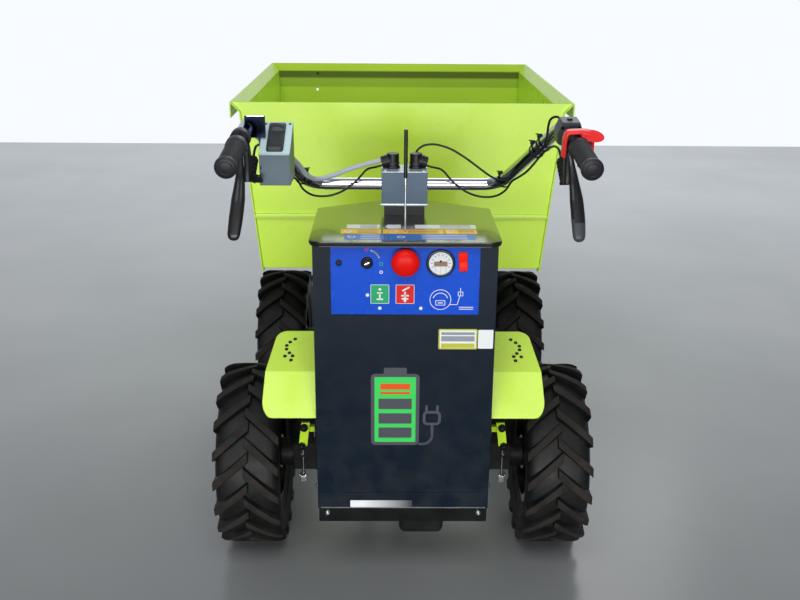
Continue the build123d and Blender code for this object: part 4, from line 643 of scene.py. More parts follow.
# the thickness of one printed film
LAYER = 0.00015


def outlined(form, width, height, corner, border, place, outer, inner, level=0):
    """A printed frame: a card of one finish with a smaller card of another on it."""
    shape_into(form, card(width, height, corner, LAYER * (level + 1), outer), place)
    shape_into(form, card(width - 2 * border, height - 2 * border, max(corner - border, 0.0005),
                          LAYER * (level + 2), inner), place)


prints = bmesh.new()
battery_x, battery_z = -0.018, 0.4055
outlined(prints, 0.046, 0.030, 0.003, 0.0060, on_back(battery_x, battery_z + 0.078, back_low.y), 0, 0)
outlined(prints, 0.098, 0.160, 0.009, 0.0072, on_back(battery_x, battery_z, back_low.y), 0, 1, 2)
for up in (0.0135, -0.0193, -0.0515):
    shape_into(prints, card(0.0675, 0.0235, 0.002, LAYER * 5),
               on_back(battery_x, battery_z + up, back_low.y))
# two plain orange strips stand where the wording would be
for up, tall in ((0.0520, 0.0130), (0.0375, 0.0055)):
    shape_into(prints, card(0.0600, tall, 0.001, LAYER * 5, 2),
               on_back(battery_x, battery_z + up, back_low.y))
# the plug beside it, with its lead curving down to the battery's foot
outlined(prints, 0.037, 0.032, 0.010, 0.0055, on_back(0.057, 0.387, back_low.y), 0, 3)
for across in (0.046, 0.068):
    shape_into(prints, card(0.0050, 0.013, 0.001, LAYER * 3), on_back(across, 0.4090, back_low.y))
shape_into(prints, card(0.0055, 0.026, 0.0, LAYER * 3), on_back(0.058, 0.3600, back_low.y))
lead_x, lead_z, lead_bend = 0.038, 0.3480, 0.020
for turn in range(10):
    angle = radians(-4.5 - turn * 9)
    shape_into(prints, card(0.0055, 0.0036, 0.0, LAYER * 3),
               on_back(lead_x + lead_bend * cos(angle), lead_z + lead_bend * sin(angle), back_low.y)
               @ Matrix.Rotation(angle, 4, "Z"))
shape_into(prints, card(0.008, 0.0055, 0.0, LAYER * 3), on_back(0.0345, 0.3280, back_low.y))
dark_vinyl = vinyl("vinyl_dark_grey", "4E4E58", 0.35)
fresh_green = vinyl("vinyl_fresh_green", "3FD35E", 0.32)
vinyl_red_orange = vinyl("vinyl_red_orange", "E4571E", 0.32)
add_piece("battery_pictogram", prints, "chassis", "dark_paint", dark_vinyl, fresh_green, vinyl_red_orange,
          anthracite)

labels = bmesh.new()
label_x, label_z = 0.1055, 0.5605
outlined(labels, 0.077, 0.043, 0.003, 0.0028, on_back(label_x, label_z, back_low.y), 0, 2)
for up, tall, finish in ((0.012, 0.006, 1), (0.001, 0.011, 1), (-0.0135, 0.009, 0)):
    shape_into(labels, card(0.066, tall, 0.0005, LAYER * 3, finish),
               on_back(label_x, label_z + up, back_low.y))
shape_into(labels, card(0.030, 0.040, 0.002, LAYER * 2, 2), on_back(label_x + 0.055, label_z, back_low.y))
add_piece("blank_labels", labels, "chassis", "dark_paint", vinyl_yellow, vinyl_grey, vinyl_white)

# ---- Cover: a moulded lid of glossy black plastic that mirrors the hall and the skip above it.
# Three rows of blank coloured stickers lie on it behind the column.
gloss_black = grained("gloss_black_lid", "0A0F0A", 0.15, shade=0.02, grain=160.0, relief=0.05,
                      round_edge=0.003, IOR=1.9, Coat_Weight=1.0, Coat_Roughness=0.12)
# the lid is moulded a little crowned, which turns its mirror image down onto the skip's wall
tree, shader = opened(gloss_black)
crown_slope = -0.060
axes = own_axes(tree)
crown = add_node(tree, "Bump", Distance=1.0, Normal=source_of(shader, "Normal"))
feed(tree, crown, Height=sum_of(tree, "MULTIPLY", axes["Y"], crown_slope))
feed(tree, shader, Normal=crown.outputs["Normal"])
wear(gloss_black, "top_cover")
vinyl_blue = vinyl("vinyl_blue", "2468B8", 0.30)
vinyl_orange = vinyl("vinyl_orange", "F5BE3A", 0.30)
vinyl_black = vinyl("vinyl_black", "16181A", 0.35)
cover_low, cover_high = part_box("top_cover")
stickers = bmesh.new()


def washer(inner, outer, tall, steps=40):
    """A flat ring standing on the origin along Z."""
    return turned([(0.0, inner), (tall, inner), (tall, outer), (0.0, outer), (0.0, inner)], steps)


# finish, row's far and near edge, and each sticker's left and right edge
for finish, far, near, spans in (
    (0, -0.499, -0.527, ((-0.116, -0.050), (-0.036, -0.008), (0.020, 0.142))),
    (1, -0.533, -0.565, ((-0.126, -0.047), (-0.044, 0.0765), (0.0785, 0.141))),
    (2, -0.569, -0.607, ((-0.1175, -0.042), (-0.040, 0.135))),
):
    for left, right in spans:
        middle = at((left + right) / 2, (far + near) / 2, cover_high.z)
        shape_into(stickers, card(right - left, far - near, 0.002, LAYER, finish), middle)
        dark_on = 3 if finish < 2 else 0
        # plain dark bars and a ring where a maker would print the wording
        width = right - left
        if width > 0.05:
            for step in (-0.32, 0.0, 0.32):
                shape_into(stickers, card(width * 0.5, 0.0022, 0.0005, LAYER * 2, dark_on),
                           middle @ at(width * 0.16, step * (far - near), 0))
        shape_into(stickers, washer(0.0055, 0.0078, LAYER * 2, 24),
                   middle @ at(-width * 0.32, 0, 0))
add_piece("lid_stickers", stickers, "chassis", "gloss_cover", vinyl_white, vinyl_orange, vinyl_blue,
          vinyl_black)

# ---- Control plate: blue painted aluminium, printed with two coloured fields and white line signs.
# It is bonded to the rear wall.
plate_blue = grained("plate_blue", "0A4BC6", 0.26, shade=0.04, grain=900.0, relief=0.08,
                     round_edge=0.0006, Specular_IOR_Level=0.2)
wear(plate_blue, "control_plate")
vinyl_red = vinyl("vinyl_red", "D41A12", 0.30)
plate_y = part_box("control_plate")[0].y
signs = bmesh.new()
# the numbers of the piece's finishes
WHITE, GREEN, RED, BLUE = 0, 1, 2, 3
for across, field in ((-0.049, GREEN), (0.0, RED)):
    outlined(signs, 0.0362, 0.0392, 0.0018, 0.0009, on_back(across, 0.655, plate_y), WHITE, field)


def disc(radius, tall, steps=20):
    """A flat round plate standing on the origin along Z."""
    return turned([(0.0, 0.0), (0.0, radius), (tall, radius), (tall, 0.0)], steps)


def line(form, start, end, width, level):
    """A printed white stroke between two points of the plate, with square ends."""
    run = Vector(end) - Vector(start)
    turn = Matrix.Rotation(run.angle_signed(Vector((1, 0))), 4, "Z")
    middle = (Vector(start) + Vector(end)) / 2
    shape_into(form, card(run.length + width * 0.6, width, 0.0, LAYER * level),
               on_back(middle.x, middle.y, plate_y) @ turn)


def hoop(form, across, up, radius, width, level, finish=0):
    """A printed ring."""
    shape_into(form, finished(washer(radius - width, radius, LAYER * level), finish),
               on_back(across, up, plate_y))


# an upright bar with its base on the green field, a struck-through one on the red, as plain line signs
for start, end in (((-0.049, 0.6455), (-0.049, 0.657)), ((-0.0545, 0.6445), (-0.0435, 0.6445)),
                   ((-0.0535, 0.6575), (-0.0445, 0.6575)), ((-0.0055, 0.6455), (0.0055, 0.6455)),
                   ((-0.0065, 0.6520), (0.0065, 0.6520)), ((0.0, 0.6480), (0.0, 0.6590)),
                   ((-0.0045, 0.6625), (0.0075, 0.6690))):
    line(signs, start, end, 0.0030, 3)
for across, up in ((-0.049, 0.6650), (0.0, 0.6415)):
    shape_into(signs, disc(0.0026, LAYER * 3), on_back(across, up, plate_y))
for across, up in ((-0.073, 0.653), (-0.049, 0.626), (0.031, 0.626)):
    shape_into(signs, disc(0.0034, LAYER), on_back(across, up, plate_y))
# charging sign: a ring with an arc and a small battery, and its line up to a plug
hoop(signs, 0.069, 0.644, 0.021, 0.0011, 1)


def dashes(form, size, middle, radius, first, pitch, count):
    """A printed arc of short dashes: its middle, radius, first angle, pitch in degrees and count."""
    for turn in range(count):
        angle = radians(first + turn * pitch)
        shape_into(form, card(*size, 0.0, LAYER),
                   on_back(middle[0] + radius * cos(angle), middle[1] + radius * sin(angle), plate_y)
                   @ Matrix.Rotation(angle + pi / 2, 4, "Z"))


dashes(signs, (0.0036, 0.0014), (0.069, 0.643), 0.0145, 25, 13, 11)
for start, end in (((0.0875, 0.634), (0.1020, 0.634)), ((0.1020, 0.634), (0.1080, 0.656)),
                   ((0.1080, 0.656), (0.1080, 0.668)), ((0.1035, 0.652), (0.1125, 0.652)),
                   ((0.1035, 0.660), (0.1125, 0.660)), ((0.1035, 0.652), (0.1035, 0.660)),
                   ((0.1125, 0.652), (0.1125, 0.660)), ((0.1060, 0.6245), (0.1330, 0.6245)),
                   ((0.1060, 0.6285), (0.1330, 0.6285))):
    line(signs, start, end, 0.0013, 1)
outlined(signs, 0.019, 0.0105, 0.0012, 0.0012, on_back(0.069, 0.6375, plate_y), WHITE, BLUE)
line(signs, (0.0645, 0.6375), (0.0735, 0.6375), 0.0018, 3)
# arc and end marks round the key
dashes(signs, (0.0040, 0.0030), (-0.074, 0.719), 0.0255, 26, 5.4, 9)
hoop(signs, -0.0745, 0.7450, 0.0034, 0.0014, 1, RED)
hoop(signs, -0.0465, 0.7165, 0.0040, 0.0016, 1, GREEN)
hoop(signs, -0.0465, 0.7000, 0.0034, 0.0014, 1)
add_piece("plate_prints", signs, "chassis", "blue_plate", vinyl_white, vinyl_green, vinyl_red, plate_blue)

# ---- Panel fittings: stop mushroom, charge gauge, key switch, lamp and plug, each in its own hole.
# Nuts behind the plate hold them; only their bezels show.
stop_red = grained("stop_red", "DC140C", 0.30, shade=0.03, grain=700.0, relief=0.03,
                   Specular_IOR_Level=0.12)
moulded_black = grained("moulded_black", "141518", 0.38, shade=0.06, grain=800.0, relief=0.15,
                        round_edge=0.0008)
bright_chrome = grained("bright_chrome", "D9DCE0", 0.07, 1.0, shade=0.03, grain=300.0, relief=0.03)


def on_plate(up=0.0, out=0.0):
    """A place on the axis of the fitting at hand, looking out of the plate."""
    return facing((centre.x, high.y - out, centre.z + up), (0, -1, 0))


low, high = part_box("stop_button")
centre = (low + high) / 2
# it sits a little above the hole's middle
mushroom_rise = 0.0036
mushroom = turned([(0.0, 0.0), (0.0, 0.0175), (0.004, 0.0175), (0.005, 0.0160), (0.009, 0.0160),
                   (0.0100, 0.0255), (0.0115, 0.0272), (0.0150, 0.0275), (0.0190, 0.0262),
                   (0.0228, 0.0230), (0.0256, 0.0180), (0.0272, 0.0110), (0.0278, 0.0040), (0.0279, 0.0)],
                  64)
mushroom.normal_update()
for face in mushroom.faces:
    face.material_index = 1 if max(vert.co.z for vert in face.verts) < 0.0095 else 0
button = bmesh.new()
shape_into(button, mushroom, on_plate(mushroom_rise))
piece = add_piece("stop_mushroom", button, "chassis", "red_plastic", stop_red, moulded_black, smooth=40.0)
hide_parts("stop_button")

low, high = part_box("battery_gauge")
centre = (low + high) / 2
gauge = bmesh.new()
bezel = turned([(0.0, 0.0), (0.0, 0.0280), (0.0030, 0.0280), (0.0052, 0.0268), (0.0058, 0.0250),
                (0.0052, 0.0234), (0.0036, 0.0226), (0.0034, 0.0)], 56)
bezel.normal_update()
for face in bezel.faces:
    face.material_index = 1 if max((vert.co.x ** 2 + vert.co.y ** 2) ** 0.5
                                   for vert in face.verts) < 0.0228 else 0
shape_into(gauge, bezel, on_plate())
dial_y, dial_radius = high.y - 0.0034, 0.0172
for step in range(10):
    angle = radians(205 - step * 25.5)
    bar = card(0.0046, 0.0016, 0.0003, LAYER * 2, 3)
    shape_into(gauge, bar, on_back(centre.x + dial_radius * cos(angle),
                                   centre.z + dial_radius * sin(angle), dial_y)
               @ Matrix.Rotation(angle, 4, "Z"))
shape_into(gauge, card(0.026, 0.010, 0.0008, LAYER * 2, 2), on_back(centre.x, centre.z - 0.001, dial_y))
for across in (-0.010, 0.0, 0.010):
    shape_into(gauge, card(0.0006, 0.016, 0.0, LAYER * 2, 3),
               on_back(centre.x + across, centre.z - 0.0135, dial_y))
hub = turned([(0.0, 0.0), (0.0, 0.0024), (0.0010, 0.0020), (0.0012, 0.0)], 20)
shape_into(gauge, finished(hub, 4), on_plate(0.004, high.y - dial_y))
dark_bezel = grained("dark_bezel", "2A2F33", 0.18, 0.8, shade=0.03, grain=600.0, relief=0.03)
dial_brown = grained("dial_brown", "8C6F57", 0.35, shade=0.05, grain=600.0, relief=0.03)
dial_face = grained("dial_face", "D5DADD", 0.30, shade=0.03, grain=900.0, relief=0.03, Coat_Weight=1.0)
piece = add_piece("charge_gauge", gauge, "chassis", "black_plastic", dark_bezel, dial_face, dial_brown,
                  vinyl_grey, moulded_black, smooth=40.0)
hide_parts("battery_gauge")

low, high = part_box("key_switch")
centre = (low + high) / 2
barrel = turned([(0.0, 0.0), (0.0, 0.0118), (0.0022, 0.0118), (0.0036, 0.0106), (0.0040, 0.0090),
                 (0.0030, 0.0082), (0.0030, 0.0)], 40)
key = bmesh.new()
shape_into(key, barrel, on_plate())
shape_into(key, turned([(0.0, 0.0), (0.0, 0.0074), (0.0036, 0.0072), (0.0046, 0.0062), (0.0046, 0.0)],
                       32),
           on_plate(0.0, 0.0024))
grip_bar = finished(slab(0.0034, 0.0120, 0.0030, 0.0007), 1)
shape_into(key, grip_bar,
           on_back(centre.x, centre.z, high.y - 0.0078) @ Matrix.Rotation(radians(-62), 4, "Z"))
piece = add_piece("key_and_barrel", key, "chassis", "black_plastic", moulded_black, bright_chrome,
                  smooth=40.0)
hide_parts("key_switch")

low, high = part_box("lamp_switch")
centre = (low + high) / 2
lamp_form = bmesh.new()
skew = at(centre.x - 0.0008, high.y, centre.z + 0.0034) @ Matrix.Rotation(radians(-4), 4, "Y")
frame_card = finished(slab(0.0172, 0.0022, 0.0390, 0.0006), 1)
shape_into(lamp_form, frame_card, skew @ at(0, -0.0011, 0))
for up, turn in ((0.0088, 6), (-0.0088, -6)):
    shape_into(lamp_form, slab(0.0160, 0.0050, 0.0178, 0.0010),
               skew @ at(0, -0.0034, up) @ Matrix.Rotation(radians(turn), 4, "X"))
lens_red = grained("lens_red", "E0200E", 0.30, shade=0.03, grain=700.0, relief=0.03,
                   Specular_IOR_Level=0.1, Emission_Color=tone("E0200E"), Emission_Strength=0.25)
piece = add_piece("lamp_rocker", lamp_form, "chassis", "red_plastic", lens_red, stop_red)
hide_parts("lamp_switch")

low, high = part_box("panel_plug")
centre = (low + high) / 2
plug = bmesh.new()
shape_into(plug, turned([(0.0, 0.0), (0.0, 0.0060), (0.0024, 0.0060), (0.0036, 0.0050), (0.0040, 0.0036),
                         (0.0026, 0.0030), (0.0026, 0.0)], 32), on_plate())
piece = add_piece("blanking_plug", plug, "chassis", "black_plastic", moulded_black)
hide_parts("panel_plug")
wear(moulded_black, "battery_block")

# ---- Fenders: lime sheet bent over the rear tyres and welded to the housing's sides.
# A pattern of small black rubber buttons on each keeps a foot from slipping.
lime_paint = grained("lime_paint", "CDF24A", 0.26, shade=0.03, grain=520.0, relief=0.10,
                     round_edge=0.0025, dust=0.05, reach=0.55, Coat_Weight=0.4, Coat_Roughness=0.12)
wear(lime_paint, "fenders")
fender_low, fender_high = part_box("fenders")
buttons = bmesh.new()
weld_line = bmesh.new()


def swept(points, sizes, across=(1, 0, 0), sides=16, square=0.0):
    """A bar bent along points, its half width and half thickness given at each; square makes it boxy."""
    made = bmesh.new()
    bmesh.ops.create_cone(made, cap_ends=True, segments=sides, radius1=1.0, radius2=1.0, depth=1.0)
    last = len(points) - 1
    for step in range(1, last):
        bmesh.ops.bisect_plane(made, geom=made.verts[:] + made.edges[:] + made.faces[:],
                               plane_co=(0, 0, step / last - 0.5), plane_no=(0, 0, 1))
    rows = [Vector(point) for point in points]
    frames = []
    for step, point in enumerate(rows):
        along = (rows[min(step + 1, last)] - rows[max(step - 1, 0)]).normalized()
        wide = Vector(across) - along * along.dot(Vector(across))
        wide.normalize()
        frames.append((point, wide, along.cross(wide)))
    for vert in made.verts:
        step = round((vert.co.z + 0.5) * last)
        point, wide, thick = frames[step]
        half, deep = sizes[step] if isinstance(sizes, list) else sizes
        boxy = max(abs(vert.co.x), abs(vert.co.y)) ** -square
        vert.co = point + wide * vert.co.x * boxy * half + thick * vert.co.y * boxy * deep
    bmesh.ops.recalc_face_normals(made, faces=made.faces)
    return made


def fender_level(along):
    """The height of the bent sheet's upper face at a distance along the machine."""
    bend, bend_level = -0.520, 0.452
    if along > bend:
        return bend_level + (fender_high.z - bend_level) * (along - bend) / (fender_high.y - bend)
    return fender_low.z + (bend_level - fender_low.z) * (along - fender_low.y) / (bend - fender_low.y)


fender_upward = (0, -0.344, 0.939)
for side in (-1, 1):
    for along, across in ((-0.4253, 0.2350), (-0.4345, 0.2450), (-0.4449, 0.2515), (-0.4558, 0.2510),
                          (-0.4668, 0.2440), (-0.4766, 0.2525), (-0.4757, 0.2365), (-0.4879, 0.2390)):
        shape_into(buttons, turned([(0.0, 0.0), (0.0, 0.0042), (0.0012, 0.0038), (0.0018, 0.0022),
                                    (0.0019, 0.0)], 16),
                   facing((side * across, along, fender_level(along) - 0.0002), fender_upward))
    seam = []
    for step in range(31):
        along = fender_low.y + 0.004 + step * 0.0061
        seam.append((side * (0.1800 - 0.070 * (along - fender_low.y)), along,
                     fender_level(along) - 0.0010))
    shape_into(weld_line, swept(seam, [(0.0026 + 0.0006 * (step % 2), 0.0026) for step in range(31)],
                                (1, 0, 0), 10))
add_piece("fender_buttons", buttons, "chassis", "lime_paint", moulded_black)
add_piece("fender_welds", weld_line, "chassis", "lime_paint", lime_paint, smooth=60.0)
# under each fender a black plate stands on the axle and darkens the gap below the sheet
gap_plates = bmesh.new()
for side in (-1, 1):
    shape_into(gap_plates, slab(0.0660, 0.0040, 0.2200, 0.0008), at(side * 0.2160, -0.4600, 0.3610))
add_piece("fender_gap_plates", gap_plates, "chassis", "black_paint", black_paint)

# ---- Brake gear: a lime link on each side with black ends, its rod and nuts of zinc down to the brake.
# The links swing on pins in the brackets beside the housing.
links = grained("link_paint_and_zinc", "BFE832", 0.28, shade=0.04, grain=700.0, relief=0.1,
                round_edge=0.0010)
# below the painted bar the same forging is bare zinc, so the finish changes at that height
tree, shader = opened(links)
link_low, link_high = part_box("brake_links")
painted_from = link_high.z - 0.064
painted = spread(tree, own_axes(tree)["Z"], painted_from - 0.0006, painted_from + 0.0006, 0.0, 1.0)
feed(tree, shader, Base_Color=blended(tree, painted, tone("B4B7B8"), source_of(shader, "Base Color")),
     Metallic=sum_of(tree, "SUBTRACT", 1.0, painted))
wear(links, "brake_links")
link_ends = bmesh.new()
rod_nuts = bmesh.new()
rod_x, rod_y = 0.2160, link_low.y + 0.006
for side in (-1, 1):
    # the link's upper pin sits a little farther in than its lower one
    for pin_x, up in ((0.2105, link_high.z - 0.010), (rod_x, painted_from + 0.010)):
        x = side * pin_x
        shape_into(link_ends, turned([(0.0, 0.0), (0.0, 0.0085), (0.003, 0.0085), (0.0038, 0.0076),
                                      (0.0038, 0.0)], 24),
                   facing((x, link_low.y, up), (0, -1, 0)))
        shape_into(link_ends, screw(0.008, 0.004), facing((x, link_low.y - 0.0038, up), (0, -1, 0)))
    for up in (painted_from - 0.010, link_low.z + 0.020, link_low.z + 0.006):
        shape_into(rod_nuts, screw(0.0100, 0.0055), facing((side * rod_x, rod_y, up), (0, 0, -1)))
    shape_into(rod_nuts, slab(0.0150, 0.0060, 0.0040, 0.0008),
               at(side * rod_x, rod_y, link_low.z + 0.013))
add_piece("link_pins", link_ends, "chassis", "black_paint", black_oxide)
add_piece("rod_nuts", rod_nuts, "chassis", "steel", zinc)

# ---- Lid trim: a black rubber profile pushed over the lid's rear edge and its corners.
# It hides the cut edge and keeps water off the control plate.
trim_rubber = grained("trim_rubber", "060708", 0.55, shade=0.06, grain=900.0, relief=0.15)
trim_path = [Vector((-cover_high.x, -0.560, 0)), Vector((-cover_high.x, -0.580, 0))]
corner = 0.024
for side, first in ((-1, 180), (1, 270)):
    for step in range(9):
        angle = radians(first + 90 * step / 8)
        trim_path.append(Vector((side * (cover_high.x - corner) + corner * cos(angle),
                                 cover_low.y + corner + corner * sin(angle), 0)))
trim_path += [Vector((cover_high.x, -0.580, 0)), Vector((cover_high.x, -0.560, 0))]
trim = bmesh.new()
level = Vector((0, 0, (cover_low.z + cover_high.z) / 2))
shape_into(trim, swept([point + level for point in trim_path],
                       ((cover_high.z - cover_low.z) * 0.32, 0.0012), (0, 0, 1), 12, 0.5))
add_piece("lid_edge_trim", trim, "chassis", "rubber", trim_rubber, smooth=50.0)

# ---- Column: a moulded black foot and a grey-blue painted steel box that carries the handlebar.
# Its lid is held by corner screws, and a bent flange runs along the foot of its near wall.
grey_blue = grained("grey_blue_paint", "44586A", 0.30, shade=0.04, grain=620.0, relief=0.16,
                    round_edge=0.0012)
wear(grey_blue, "column_box")
wear(moulded_black, "column_base", "cable_glands")
low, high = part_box("column_box")
box_trim = bmesh.new()
lid = card(high.x - low.x + 0.001, high.y - low.y + 0.001, 0.003, 0.0014)
shape_into(box_trim, lid, at(0, (low.y + high.y) / 2, high.z))
flange = slab(high.x - low.x + 0.003, 0.0040, 0.0050, 0.0008)
shape_into(box_trim, flange, at(0, low.y - 0.0012, low.z + 0.0025))
for side in (-1, 1):
    for along in (low.y + 0.008, high.y - 0.008):
        shape_into(box_trim, button_screw(0.0075, 0.0026),
                   at(side * (high.x - 0.008), along, high.z + 0.0014))
light_grey = grained("light_grey_edge", "AEBBC2", 0.26, 0.4, shade=0.04, grain=620.0, relief=0.10)
add_piece("column_lid_and_flange", box_trim, "chassis", "grey_box", light_grey)
low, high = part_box("cable_glands")
gland_nuts = bmesh.new()
gland_x, gland_y, elbow, lean = 0.024, -0.390, 0.024, radians(15)
for side in (-1, 1):
    for up, radius, tall in ((low.z, 0.0150, 0.006), (low.z + 0.010, 0.0142, 0.0035)):
        ring = turned([(0.0, 0.0126), (0.0, radius), (tall, radius), (tall, 0.0126), (0.0, 0.0126)], 12)
        shape_into(gland_nuts, ring, at(side * gland_x, gland_y, up))
    mouth = Vector((side * (gland_x + elbow * cos(lean)), gland_y, high.z - 0.013 - elbow * sin(lean)))
    way = Vector((side * cos(lean), 0, -sin(lean)))
    for back in (0.004, 0.010, 0.016):
        ring = turned([(-0.0012, 0.0116), (-0.0008, 0.0132), (0.0008, 0.0132), (0.0012, 0.0116),
                       (-0.0012, 0.0116)], 28)
        shape_into(gland_nuts, ring, facing(mouth - way * back, way))
add_piece("gland_nuts", gland_nuts, "chassis", "black_plastic", moulded_black)

# ---- Handlebar: one bright chromed tube, bent up to both grips.
# It is polished before plating, so it mirrors the lime skip and the dark cover.
chrome_tube = grained("chrome_tube", "C9CED2", 0.05, 1.0, shade=0.05, grain=90.0, relief=0.02)
wear(chrome_tube, "handlebar")
# the whip rod is polished wire below and wears a black sleeve above the column's top
whip = grained("whip_rod_finish", "B9BEC4", 0.25, 1.0, shade=0.05, grain=800.0, relief=0.05)
tree, shader = opened(whip)
sleeve_foot = 0.872
sleeved = spread(tree, own_axes(tree)["Z"], sleeve_foot - 0.0005, sleeve_foot + 0.0005, 0.0, 1.0)
feed(tree, shader, Base_Color=blended(tree, sleeved, source_of(shader, "Base Color"), tone("121315")),
     Metallic=sum_of(tree, "SUBTRACT", 1.0, sleeved))
wear(whip, "whip_rod")

# ---- Grips: ribbed rubber sleeves pushed over the bar's ends, each with an end ring and a thick collar.
# Fine rings round them give the hand hold.
grip_rubber = grained("grip_rubber", "202225", 0.42, shade=0.06, grain=900.0, relief=0.3)
grip_outline = [(0.0, 0.0), (0.0, 0.0138), (0.0016, 0.0162), (0.0026, 0.0180), (0.0060, 0.0185),
                (0.0092, 0.0182), (0.0108, 0.0168), (0.0124, 0.0160)]
for ring in range(16):
    start = 0.0150 + ring * 0.0050
    grip_outline += [(start, 0.0158), (start + 0.0010, 0.0166), (start + 0.0030, 0.0167),
                     (start + 0.0040, 0.0158)]
grip_outline += [(0.0960, 0.0160), (0.0990, 0.0174), (0.1020, 0.0185), (0.1150, 0.0185), (0.1180, 0.0172),
                 (0.1180, 0.0130), (0.0100, 0.0128), (0.0100, 0.0)]
# the right grip's end and the way its bar runs from there
bar_end = Vector((0.2880, -0.8879, 0.9600))
bar_way = Vector((-0.0160, 0.9916, 0.1280))


def on_side(side, point):
    """A point or direction of the right side, mirrored when side is -1."""
    return Vector((side * point[0], point[1], point[2]))


grip_form = bmesh.new()
for side in (-1, 1):
    end = on_side(side, bar_end)
    way = on_side(side, bar_way)
    shape_into(grip_form, turned(grip_outline, 48), facing(end, way))
    # a shallow dished mark on the closed end
    shape_into(grip_form, turned([(0.0, 0.0098), (-0.0006, 0.0104), (-0.0006, 0.0112), (0.0, 0.0118),
                                  (0.0, 0.0098)], 40),
               facing(end, way))
grip_sleeves = add_piece("ribbed_grips", grip_form, "chassis", "rubber", grip_rubber, smooth=40.0)
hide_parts("grips")


# ---- Brake levers: forged black blades, thickened at the hand, the right one's lower half bare grey.
# Each turns on a pin through its clamp's hanger.
lever_black = grained("lever_black", "15181A", 0.34, shade=0.06, grain=800.0, relief=0.15,
                      Coat_Weight=0.3)
lever_grey = grained("lever_grey", "3B4046", 0.36, shade=0.06, grain=800.0, relief=0.15)


def from_grip(side, across, along, up):
    """A point given in a grip's frame: across outward, along the bar, up."""
    way = on_side(side, bar_way)
    outward = Vector((side, 0, 0)) - way * (side * way.x)
    outward.normalize()
    above = outward.cross(way) * side
    return on_side(side, bar_end) + way * along + outward * across + above * up


def between(values, place):
    """A value read between the entries of a row, at a place counted in entries."""
    near = min(int(place), len(values) - 2)
    return values[near] + (values[near + 1] - values[near]) * (place - near)


def smooth_path(corners, steps):
    """A soft curve through a row of points."""
    knots = [Vector(corner) for corner in corners]
    knots = [knots[0] * 2 - knots[1]] + knots + [knots[-1] * 2 - knots[-2]]
    path = []
    for a, b, c, d in zip(knots, knots[1:], knots[2:], knots[3:]):
        for step in range(steps):
            t = step / steps
            path.append(0.5 * (2 * b + (c - a) * t + (2 * a - 5 * b + 4 * c - d) * t * t
                               + (3 * b - a - 3 * c + d) * t ** 3))
    path.append(knots[-2])
    return path


levers = bmesh.new()
for side, inboard, lean in ((-1, 0.000, 0.070), (1, 0.013, 0.130)):
    rows = ((0.141, 0.022), (0.136, 0.040), (0.126, 0.064), (0.108, 0.092), (0.092, 0.120),
            (0.081, 0.142), (0.078, 0.148), (0.0765, 0.1515), (0.0757, 0.1535), (0.0752, 0.1548),
            (0.0750, 0.1553))
    spine = [from_grip(side, -inboard + lean * drop + 0.004 * sin(pi * min(1.0, drop / 0.155)) * side,
                       along, -drop)
             for along, drop in rows]
    halves = [0.0048, 0.0058, 0.0085, 0.0118, 0.0122, 0.0112, 0.0104, 0.0088, 0.0066, 0.0040, 0.0012]
    deeps = [0.0045, 0.0050, 0.0054, 0.0060, 0.0062, 0.0060, 0.0056, 0.0046, 0.0034, 0.0022, 0.0008]
    fine_spine = smooth_path(spine, 4)
    sizes = [(between(halves, step / 4), between(deeps, step / 4)) for step in range(len(fine_spine))]
    blade = swept(fine_spine, sizes, (1, 0, 0), 20, 0.25)
    if side > 0:
        for face in blade.faces:
            face.material_index = 1 if face.calc_center_median().z < spine[4].z - 0.002 else 0
    shape_into(levers, blade)
piece = add_piece("forged_levers", levers, "chassis", "black_plastic", lever_black, lever_grey,
                  smooth=50.0)
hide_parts("brake_levers")

# ---- Clamps: split rings on the bar, each with a hanger for its lever and a seat for the cable's boot.
# They are moulded of black glass-filled plastic, and a black screw holds each lever's pin.
clamps = bmesh.new()
lever_pins = bmesh.new()
# side, the foot of the cable's boot, and the way the boot points
for side, boot_foot, boot_way in ((-1, (-0.2614, -0.7292, 0.9115), (0.0836, 0.7022, 0.7070)),
                                  (1, (0.2752, -0.7292, 0.9101), (-0.0864, 0.7020, 0.7069))):
    way = on_side(side, bar_way)
    ring = turned([(0.0, 0.0128), (0.0, 0.0162), (0.0014, 0.0176), (0.0206, 0.0176), (0.0220, 0.0162),
                   (0.0220, 0.0128), (0.0, 0.0128)], 40)
    shape_into(clamps, ring, facing(from_grip(side, 0, 0.141, 0), way))
    hanger = smooth_path([from_grip(side, across, along, -drop) for across, along, drop in
                          ((-0.0080, 0.152, 0.008), (-0.0105, 0.150, 0.024), (-0.0120, 0.143, 0.042),
                           (-0.0120, 0.136, 0.058), (-0.0120, 0.132, 0.070))], 4)
    last = len(hanger) - 1
    shape_into(clamps, swept(hanger,
                             [(0.0062, 0.0130 - 0.0030 * (step / last) ** 2) for step in range(last + 1)],
                             (1, 0, 0), 20, 0.6))
    foot, boot_way = Vector(boot_foot), Vector(boot_way)
    seat = slab(0.0190, 0.0190, 0.0060, 0.0015)
    shape_into(clamps, seat, facing(foot - boot_way * 0.0030, boot_way))
    root = from_grip(side, -0.0120, 0.140, -0.064)
    arm = [root, (root + foot) / 2, foot - boot_way * 0.004]
    shape_into(clamps, swept(arm, (0.0070, 0.0080), (0, 1, 0), 16, 0.5))
    pin_end = from_grip(side, 0.0045, 0.134, -0.036)
    shape_into(lever_pins, button_screw(0.010, 0.0034), facing(pin_end, (side, 0, 0)))
clamp_form = add_piece("lever_clamps", clamps, "chassis", "black_plastic", moulded_black, smooth=45.0)
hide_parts("bar_brackets")
add_piece("lever_pins", lever_pins, "chassis", "steel", black_oxide)
wear(rest_rubber, "cable_boots")

